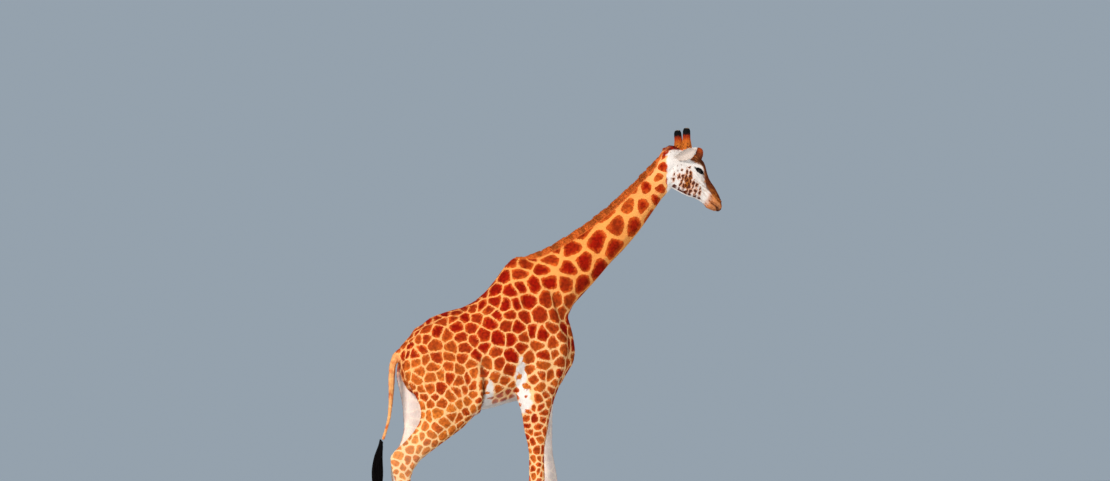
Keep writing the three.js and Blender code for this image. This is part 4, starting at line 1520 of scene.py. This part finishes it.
class GIRAFFE_OT_eyes(bpy.types.Operator):
    """Makes both eyeballs, with iris and pupil"""

    bl_idname = "giraffe.eyes"
    bl_label = "Eyes"

    def execute(self, context):
        material = eye_material()
        for name, side in SIDES.items():
            work = bmesh.new()
            bmesh.ops.create_icosphere(work, subdivisions=5, radius=EYE_RADIUS - EYE_ROOM)
            mesh = bpy.data.meshes.new(f"eyeball_{name}")
            work.to_mesh(mesh)
            work.free()
            ball = mesh_places(mesh)
            ahead = unit(np.array(EYE_LOOK) * (1, side, 1))
            level = unit(np.cross(ahead, (0, 0, 1)))
            seen = ball @ ahead > 0
            across, up = ball @ level, ball @ np.cross(ahead, level)
            iris = np.hypot(across, up) / IRIS_RADIUS
            pupil = np.hypot(across / PUPIL_HALF[0], up / PUPIL_HALF[1])
            store(mesh, "iris", np.where(seen, iris, UNSEEN))
            store(mesh, "pupil", np.where(seen, pupil, UNSEEN))
            bulge = 1 + CORNEA["height"] * (1 - ramp(iris, *CORNEA["edge"])) * seen
            eye = head_places(np.array([middle(f"eye_{name}")]))[0]
            set_places(mesh, from_head(eye + ball * np.minimum(bulge, CORNEA["most"])[:, None]))
            piece = add_object(f"eyeball_{name}", mesh)
            smooth_shaded(piece)
            material_on(piece, material)
            hand_over(piece, "eye", f"eye_{name}")
        return {"FINISHED"}


HORN_NODES = ("ossicone_left", "ossicone_right", "brow_horn")  # in the order of HORN_LINES
HORN_GRAIN = 0.003
HORN_ROUNDS = 14  # how often a horn's surface is smoothed
# How much thinner a horn's foot is made, and up to which share of its length.
HORN_FOOT = {"ossicone": (0.40, 0.20), "brow": (0.30, 0.30)}


def paint_horn(kind, places, along):
    """The colours of a horn, by the share of its length that each place lies at."""
    hair = colours()
    tint = np.zeros((len(places), 4))
    if kind == "brow":
        cover(tint, hair.brown, np.ones(len(places)))
        cover(tint, hair.patch_rim, 0.6 * ramp(along, 0.45, 0.8))
        return tint
    cover(tint, hair.horn, np.ones(len(places)))
    spots = ramp(waves(places, 0.024, 23), 0.2, 0.5) * (1 - ramp(along, 0.35, 0.6))
    cover(tint, hair.spot, 0.75 * spots)
    cover(tint, hair.patch_core, 0.85 * ramp(along, 0.42, 0.70))
    cover(tint, hair.black, ramp(along, 0.66, 0.78))
    cover(tint, hair.horn_tip, 0.8 * ramp(along, 0.945, 0.985))
    return tint


class GIRAFFE_OT_horns(bpy.types.Operator):
    """Makes the two horns and the low horn of the brow"""

    bl_idname = "giraffe.horns"
    bl_label = "Horns"

    def execute(self, context):
        material = horn_material()
        for node, (foot, tip, _) in zip(HORN_NODES, HORN_LINES):
            piece = joined_nodes(f"horn_{node}", [node])
            remeshed(piece, HORN_GRAIN)
            soften(piece, HORN_ROUNDS)
            places = mesh_places(piece.data)
            foot, tip = np.array(foot, float), np.array(tip, float)
            along = (head_places(places) - foot) @ (tip - foot) / ((tip - foot) @ (tip - foot))
            kind = node.split("_")[0]
            thinner, upto = HORN_FOOT[kind]
            axis = foot + along[:, None] * (tip - foot)
            narrow = 1 - thinner * (1 - ramp(along, 0.02, upto))
            set_places(piece.data, from_head(axis + (head_places(places) - axis) * narrow[:, None]))
            store(piece.data, "tint", paint_horn(kind, places, along + 0.02 * waves(places, 0.03, 17)))
            smooth_shaded(piece)
            material_on(piece, material)
            hand_over(piece, "horn", node)
        return {"FINISHED"}


HOOF_GRAIN = 0.005
HOOF_ROUNDS = 90  # how often a claw's surface is smoothed
SOLE = 0.004  # a claw is flat up to this height above its lowest place


class GIRAFFE_OT_hooves(bpy.types.Operator):
    """Makes the eight hoof claws, flat on the floor"""

    bl_idname = "giraffe.hooves"
    bl_label = "Hooves"

    def execute(self, context):
        material = hoof_material()
        for node in nodes_named("hoof_"):
            piece = joined_nodes(node.replace("hoof", "claw"), [node])
            low, high = (np.array(corner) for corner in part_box(node))
            remeshed(piece, HOOF_GRAIN)
            soften(piece, HOOF_ROUNDS)
            places = mesh_places(piece.data)
            mid = (low + high) / 2
            size = np.abs(places - mid).max(axis=0)
            places = mid + (places - mid) * ((high - low) / 2 / size)
            places[:, 2] = np.where(places[:, 2] < low[2] + SOLE, low[2], places[:, 2])
            set_places(piece.data, places)
            smooth_shaded(piece)
            material_on(piece, material)
            hand_over(piece, "hoof", node)
        return {"FINISHED"}


def hair_lengths(places):
    """How long the short hair is at each place."""
    legs = 1 - ramp(places[:, 2], 1.0, 1.9)
    neck = ramp(places[:, 0] + places[:, 2], 2.6, 3.1)
    share = (1 - 0.5 * legs) * (1 - 0.25 * neck) * (1 - 0.62 * on_head(places))
    ears = close_to(places, 0.01, "ear_")
    crown = bell(head_places(places), (-60, 0, 90), (70, 90, 60))
    return sizes().hair_length * (share + 0.35 * ears + 0.5 * crown)


def tuft_weight(skin):
    """How densely tufts stand on the skin: most where hair breaks the outline."""
    places, normals = skin.places, skin.normals
    weight = np.full(len(places), 0.5)
    weight += 1.2 * ramp(np.abs(normals[:, 2]), 0.6, 0.95)
    weight += 0.9 * ramp(np.abs(normals[:, 0]), 0.6, 0.95)
    weight *= 1 - close_to(places, 0.010, "mane_")
    head = head_places(places)
    for eye, side in eye_places():
        away = head - eye
        near = (np.linalg.norm(away, axis=1) < LID_REACH) & (away[:, 1] * side > 0)
        weight[near & (eye_outline(away) < 1.25)] = 0
        weight *= 1 - bell(head, np.array(NOSTRIL["at"]) * (1, side, 1), (24, 22, 20))
    weight[(head[:, 0] > 640) & (on_head(places) > 0.5)] = 0
    for foot, tip, _ in HORN_LINES:
        within = np.array(foot) + 0.3 * (np.array(tip) - foot)
        weight[np.linalg.norm(head - within, axis=1) < 28] = 0
    return weight


def coat_regions(places):
    """The coat's pieces: name, share of the tufts and how dense they are at each place."""
    head = on_head(places)
    neck = (places[:, 0] + places[:, 2] > 2.85) * (1 - head)
    legs = (places[:, 2] < 1.75) * (1 - head)
    trunk = (1 - neck) * (1 - legs) * (1 - head)
    fore = places[:, 0] > -0.6
    return (
        ("coat_head", 0.20, head * (1 + 2 * close_to(places, 0.01, "ear_"))),
        ("coat_neck", 0.20, neck),
        ("coat_trunk", 0.34, trunk),
        ("coat_forelegs", 0.13, legs * fore),
        ("coat_hindlegs", 0.13, legs * ~fore),
    )


# How the tufts vary: how far they stray from the coat's lie, how they lean off the skin, how deep
# their roots sit, their length as a share of the coat's there, and width and lift as shares of it.
TUFT = {
    "stray": 0.16,
    "lean": 0.06,
    "depth": 0.0012,
    "length": (0.7, 1.25),
    "width": (0.18, 0.30),
    "lift": (0.03, 0.16),
}


class GIRAFFE_OT_coat(bpy.types.Operator):
    """Lays short tufts of hair over the skin, along the lie of the coat"""

    bl_idname = "giraffe.coat"
    bl_label = "Coat"

    def execute(self, context):
        skin = Skin(piece_named("skin"))
        draw = np.random.default_rng(sizes().seed + 2)
        material = tuft_material()
        weight = tuft_weight(skin)
        lengths, lie = hair_lengths(skin.places), lie_of_coat(skin.places, skin.normals)
        for name, share, region in coat_regions(skin.places):
            count = int(sizes().tuft_count * share)
            roots = Roots(skin, weight * region, count, draw)
            outs = unit(roots.mixed(skin.normals))
            ways = unit(roots.mixed(lie) + draw.normal(0, TUFT["stray"], (count, 3)))
            ways = unit(ways - outs * (np.einsum("ij,ij->i", ways, outs) - TUFT["lean"])[:, None])
            size = roots.mixed(lengths[:, None])[:, 0] * draw.uniform(*TUFT["length"], count)
            piece = locks(
                name,
                roots.mixed(skin.places) - outs * TUFT["depth"],
                ways,
                outs,
                size,
                size * draw.uniform(*TUFT["width"], count),
                size * draw.uniform(*TUFT["lift"], count),
                roots.looks(),
                flat=True,
            )
            material_on(piece, material)
            hand_over(piece, "coat")
        return {"FINISHED"}


# The lashes of the upper and the lower lid: side of the eye's middle, count, share of the longest
# lash's length and how they rise.
LASH_ROWS = ((1, 46, 1.0, 0.10), (-1, 26, 0.4, -0.5))
LASH_SPAN = (0.12, 0.88)  # where the rows begin and end, in half turns round the opening
LASH_OUTSIDE = (1.04, 1.08)  # how far outside the opening they stand, along and up
LASH_WIDTH = 0.0030
LASH_LIFT = 0.45  # how far a lash bends, as a share of its length
LASH_BEND = (0.35, 0.0, -0.94)  # the way that it bends, in the head's frame


class GIRAFFE_OT_lashes(bpy.types.Operator):
    """Plants the long dark lashes of the upper lids and the short ones below"""

    bl_idname = "giraffe.lashes"
    bl_label = "Lashes"

    def execute(self, context):
        hair = colours()
        skin = Skin(piece_named("skin"))
        tree = BVHTree.FromPolygons(skin.places.tolist(), skin.faces.tolist())
        draw = np.random.default_rng(sizes().seed + 5)
        material = hair_material("Giraffe lashes", np.array(hair.black))
        for (eye, side), name in zip(eye_places(), SIDES):
            roots, ways, long, spots = [], [], [], []
            for above, count, share, rising in LASH_ROWS:
                half = EYE_OPENING["above" if above > 0 else "below"]
                for angle in np.linspace(*LASH_SPAN, count) * math.pi:
                    along = math.cos(angle) * EYE_OPENING["half_length"]
                    rise = above * math.sin(angle) * half + EYE_OPENING["slant"] * along
                    edge = np.array((along * LASH_OUTSIDE[0], 0, rise * LASH_OUTSIDE[1]))
                    start, end = from_head([eye + edge + (0, side * 60, 0), eye + edge])
                    place, _, face, _ = tree.ray_cast(Vector(start), Vector(end - start))
                    if place is None:
                        continue
                    roots.append(place)
                    spots.append(skin.map[face].mean(axis=0))
                    lean = np.array((0.25 + 0.5 * math.cos(angle), side, rising))
                    ways.append(TURN @ unit(lean + draw.normal(0, 0.10, 3)))
                    long.append(sizes().lash_length * share * (0.6 + 0.4 * math.sin(angle)))
            count = len(roots)
            piece = locks(
                f"lashes_{name}",
                np.array(roots),
                np.array(ways),
                np.tile(TURN @ LASH_BEND, (count, 1)),
                np.array(long),
                np.full(count, LASH_WIDTH),
                np.array(long) * LASH_LIFT,
                {"tint": np.tile((*hair.black, 1.0), (count, 1)), "map": np.array(spots)},
                LONG_LOCK,
            )
            material_on(piece, material)
            hand_over(piece, "coat")
        return {"FINISHED"}


MANE_COUNTS = (("mane_lower", 5200), ("mane_upper", 4600))
MANE_CLUMP = 0.034  # the mane's tufts, measured along the nape
MANE_WAY = (-0.62, 0.0, 0.78)  # the way that it stands
MANE_ROOT = 0.006  # how deep its hairs are rooted
MANE_LEAST = 0.012  # the shortest hair that is kept
# How the mane's hairs vary: how far they lean back, how long and how dark each clump is, how long and
# how dark each hair of it is, and how wide and how bent it is.
MANE = {
    "back": (0.05, 0.45),
    "clump_length": (0.54, 1.0),
    "clump_shade": (0.60, 1.20),
    "length": (0.88, 1.02),
    "shade": (0.8, 1.2),
    "width": (0.006, 0.011),
    "bend": (-0.006, 0.004),
}


class GIRAFFE_OT_mane(bpy.types.Operator):
    """Plants the upright mane along the nape"""

    bl_idname = "giraffe.mane"
    bl_label = "Mane"

    def execute(self, context):
        hair = colours()
        skin = Skin(piece_named("skin"))
        draw = np.random.default_rng(sizes().seed + 3)
        material = hair_material("Giraffe mane", np.array(hair.mane) * 0.50, fade=0.55)
        for node, count in MANE_COUNTS:
            tree = node_tree(node)
            near = close_to(skin.places, 0.017, node)
            roots = Roots(skin, near.astype(float), count, draw)
            places, outs = roots.mixed(skin.places), unit(roots.mixed(skin.normals))
            low, high = (np.array(corner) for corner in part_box(node))
            ridge = unit((high - low) * (1, 0, 1))
            ways = np.array([MANE_WAY]) - ridge * draw.uniform(*MANE["back"], (count, 1))
            ways = unit(ways + draw.normal(0, 0.05, (count, 3)) * (1, 0.8, 1))
            lengths = np.zeros(count)
            for k in range(count):
                start = Vector(places[k]) + Vector(ways[k]) * MANE_LEAST
                hit = tree.ray_cast(start, Vector(ways[k]), 0.15)
                lengths[k] = MANE_LEAST + hit[3] if hit[0] is not None else 0.0
            clump = np.floor(places @ ridge / MANE_CLUMP + 0.12 * draw.normal(size=count)).astype(int)
            clump -= clump.min()
            heights = draw.uniform(*MANE["clump_length"], clump.max() + 1)[clump]
            shades = draw.uniform(*MANE["clump_shade"], clump.max() + 1)[clump]
            lengths *= heights * draw.uniform(*MANE["length"], count)
            kept = lengths > MANE_LEAST
            total = kept.sum()
            looks = {key: value[kept] for key, value in roots.looks().items()}
            shades = shades[kept] * draw.uniform(*MANE["shade"], total)
            looks["tint"] = np.column_stack([np.array(hair.mane) * shades[:, None], np.ones(total)])
            places, ways, outs = places[kept], ways[kept], outs[kept]
            piece = locks(
                node,
                places - ways * MANE_ROOT,
                ways,
                unit(np.cross(ways, np.cross(outs, ways) + (0, 1e-4, 0))),
                lengths[kept],
                draw.uniform(*MANE["width"], total),
                draw.uniform(*MANE["bend"], total),
                looks,
                LONG_LOCK,
            )
            piece.name = f"hair_{node}"
            material_on(piece, material)
            hand_over(piece, "mane", node)
        return {"FINISHED"}


SLICE_IN = 0.004  # how far within a node's ends its first and last slice lie


def slices(node, count):
    """The middle and the half sizes of a node at several heights, from the top down."""
    places = mesh_places(NODES[node].data)
    edges = read(NODES[node].data.edges, "vertices", 2, np.int32)
    low, high = places[:, 2].min(), places[:, 2].max()
    rows = []
    for height in np.linspace(high - SLICE_IN, low + SLICE_IN, count):
        a, b = places[edges[:, 0]], places[edges[:, 1]]
        cross = (a[:, 2] - height) * (b[:, 2] - height) < 0
        share = ((height - a[cross, 2]) / (b[cross, 2] - a[cross, 2]))[:, None]
        ring = a[cross] + (b[cross] - a[cross]) * share
        centre = (ring.max(axis=0) + ring.min(axis=0)) / 2
        rows.append((*centre, *(ring.max(axis=0) - ring.min(axis=0))[:2] / 2))
    return np.array(rows)


# The tail's strands: how many, rings in each, the node's slices that they follow, the share of its
# half width that they fill, where they start and stop as shares of its length, and their widths.
STRANDS = {
    "count": 1400,
    "rings": 9,
    "slices": 24,
    "fill": 0.94,
    "start": (0.0, 0.22),
    "stop": (0.72, 0.995),
    "turn": 0.35,
    "width": (0.0035, 0.007),
    "shade": (0.6, 1.6),
}


class GIRAFFE_OT_tail(bpy.types.Operator):
    """Hangs the long black strands of the tail's tuft"""

    bl_idname = "giraffe.tail"
    bl_label = "Tail tuft"

    def execute(self, context):
        draw = np.random.default_rng(sizes().seed + 4)
        rows = slices("tail_tuft", STRANDS["slices"])
        count, rings = STRANDS["count"], STRANDS["rings"]
        angle = draw.uniform(0, 2 * math.pi, count)
        reach = np.sqrt(draw.uniform(0, 1, count)) * STRANDS["fill"]
        start = draw.uniform(*STRANDS["start"], count)
        stop = draw.uniform(*STRANDS["stop"], count) * (1 - 0.12 * reach)
        turn = draw.normal(0, STRANDS["turn"], count)
        width = draw.uniform(*STRANDS["width"], count)
        places = []
        for ring in range(rings):
            at = (start + (stop - start) * ring / (rings - 1)) * (len(rows) - 1)
            row = np.stack([np.interp(at, np.arange(len(rows)), values) for values in rows.T], axis=1)
            swing = angle + turn * ring / rings
            grown = reach * min(1.0, 0.55 + 0.08 * ring)
            spine = row[:, :3].copy()
            spine[:, 0] += row[:, 3] * grown * np.cos(swing)
            spine[:, 1] += row[:, 4] * grown * np.sin(swing)
            if ring == rings - 1:
                places.append(spine)
                break
            half = width * (1 - 0.6 * ring / rings) / 2
            for k in range(3):
                corner = swing + 2 * math.pi * k / 3
                off = np.stack([np.cos(corner), np.sin(corner), 0 * corner], axis=1)
                places.append(spine + off * half[:, None])
        each = len(places)
        faces = [(0, 1, 2), *sleeve_faces(rings - 2)]
        mesh = repeated_mesh("tail_hair", places, faces)
        shade = draw.uniform(*STRANDS["shade"], count)
        tint = np.column_stack([np.array(colours().black) * shade[:, None], np.ones(count)])
        store(mesh, "tint", np.repeat(tint, each, axis=0))
        store(mesh, "along", np.tile(np.arange(each) / each, count))
        skin = Skin(piece_named("skin"))
        tree = BVHTree.FromPolygons(skin.places.tolist(), skin.faces.tolist())
        near = [tree.find_nearest(Vector(place))[2] for place in places[0]]
        map_hairs(mesh, skin.map[near].mean(axis=1), len(faces))
        piece = add_object("tail_hair", mesh)
        smooth_shaded(piece)
        material_on(piece, hair_material("Giraffe tail hair", np.array(colours().black) * 1.3))
        hand_over(piece, "tail_tuft", "tail_tuft")
        return {"FINISHED"}


FLOOR_CORNERS = ((-30.0, -30.0, 0.0), (30.0, -30.0, 0.0), (30.0, 30.0, 0.0), (-30.0, 30.0, 0.0))
AIR_COLOUR = (0.50, 0.60, 0.70)
AIR_STRENGTH = 0.6
LIT_PLACE = (-0.2, 0.0, 2.4)
# Each light: name, place, width and power.
LIGHTS = (
    ("key", (-15.0, -15.0, 11.0), 4.5, 5600.0),
    ("fill", (13.0, -13.0, 6.0), 9.0, 900.0),
    ("back", (3.0, 16.0, 12.0), 8.0, 1800.0),
)
# The camera: the place that it stands level before, its way, its distance and its reach, then its
# focal length, the view's width and where the view's middle lies from that place, in one unit.
VIEW_MIDDLE = (-0.65887, -0.0233, 2.186)
VIEW_TURN = math.radians(18.0)
VIEW_DISTANCE = 40.0
VIEW_END = 500.0
VIEW_LENGTH = 4520.0
VIEW_WIDTH = 1110.0
VIEW_RIGHT = 73.5
VIEW_UP = 108.5
SENSOR_WIDTH = 36.0


class GIRAFFE_OT_stage(bpy.types.Operator):
    """Sets the floor, the air, the lights and the camera"""

    bl_idname = "giraffe.stage"
    bl_label = "Stage"

    def execute(self, context):
        shader = Shader("Studio floor", 0.85)
        shade = shader.step(shader.noise(0.6, detail=2.0), 0.3, 0.7, 0.0, 0.05)
        pale = np.array(colours().floor)
        floor = add_object("floor", make_mesh("floor", FLOOR_CORNERS, [(0, 1, 2, 3)]))
        material_on(floor, shader.paint(shader.mix(shade, pale, pale * 0.9)))
        world = bpy.data.worlds.new("Studio air")
        world.use_nodes = True
        world.node_tree.nodes["Background"].inputs["Color"].default_value = (*AIR_COLOUR, 1.0)
        world.node_tree.nodes["Background"].inputs["Strength"].default_value = AIR_STRENGTH
        context.scene.world = world
        context.scene.view_settings.view_transform = "Standard"
        for name, place, size, power in LIGHTS:
            data = bpy.data.lights.new(name, "AREA")
            data.shape = "DISK"
            data.size = size
            data.energy = power
            lamp = bpy.data.objects.new(name, data)
            context.scene.collection.objects.link(lamp)
            lamp.location = place
            lamp.rotation_euler = (Vector(LIT_PLACE) - Vector(place)).to_track_quat("-Z", "Y").to_euler()
            lamp.visible_camera = False
        data = bpy.data.cameras.new("camera")
        data.sensor_width = SENSOR_WIDTH
        data.lens = SENSOR_WIDTH * VIEW_LENGTH / VIEW_WIDTH
        data.clip_end = VIEW_END
        camera = bpy.data.objects.new("camera", data)
        context.scene.collection.objects.link(camera)
        ahead = Vector((math.sin(VIEW_TURN), math.cos(VIEW_TURN), 0))
        right = Vector((math.cos(VIEW_TURN), -math.sin(VIEW_TURN), 0))
        aim = ahead * VIEW_LENGTH + right * VIEW_RIGHT + Vector((0, 0, VIEW_UP))
        camera.location = Vector(VIEW_MIDDLE) - ahead * VIEW_DISTANCE
        camera.rotation_euler = aim.to_track_quat("-Z", "Y").to_euler()
        context.scene.camera = camera
        return {"FINISHED"}


STEPS = (
    GIRAFFE_OT_stage,
    GIRAFFE_OT_skin,
    GIRAFFE_OT_coat,
    GIRAFFE_OT_eyes,
    GIRAFFE_OT_lashes,
    GIRAFFE_OT_horns,
    GIRAFFE_OT_hooves,
    GIRAFFE_OT_mane,
    GIRAFFE_OT_tail,
)


class GIRAFFE_PT_panel(bpy.types.Panel):
    """Lists the steps that build the giraffe, with its sizes and colours"""

    bl_idname = "GIRAFFE_PT_panel"
    bl_label = "Giraffe"
    bl_space_type = "VIEW_3D"
    bl_region_type = "UI"
    bl_category = "Giraffe"

    def draw(self, context):
        for step in STEPS:
            self.layout.operator(step.bl_idname)
        for group in (sizes(), colours()):
            box = self.layout.box()
            for name in group.bl_rna.properties.keys():
                if name not in ("rna_type", "name"):
                    box.prop(group, name)


CLASSES = (GiraffeSizes, GiraffeColours, *STEPS, GIRAFFE_PT_panel)


def register():
    for kind in CLASSES:
        bpy.utils.register_class(kind)
    bpy.types.Scene.giraffe_sizes = bpy.props.PointerProperty(type=GiraffeSizes)
    bpy.types.Scene.giraffe_colours = bpy.props.PointerProperty(type=GiraffeColours)


def unregister():
    del bpy.types.Scene.giraffe_colours
    del bpy.types.Scene.giraffe_sizes
    for kind in reversed(CLASSES):
        bpy.utils.unregister_class(kind)


def main():
    register()
    for step in STEPS:
        family, action = step.bl_idname.split(".")
        getattr(getattr(bpy.ops, family), action)()


if __name__ == "__main__":
    main()
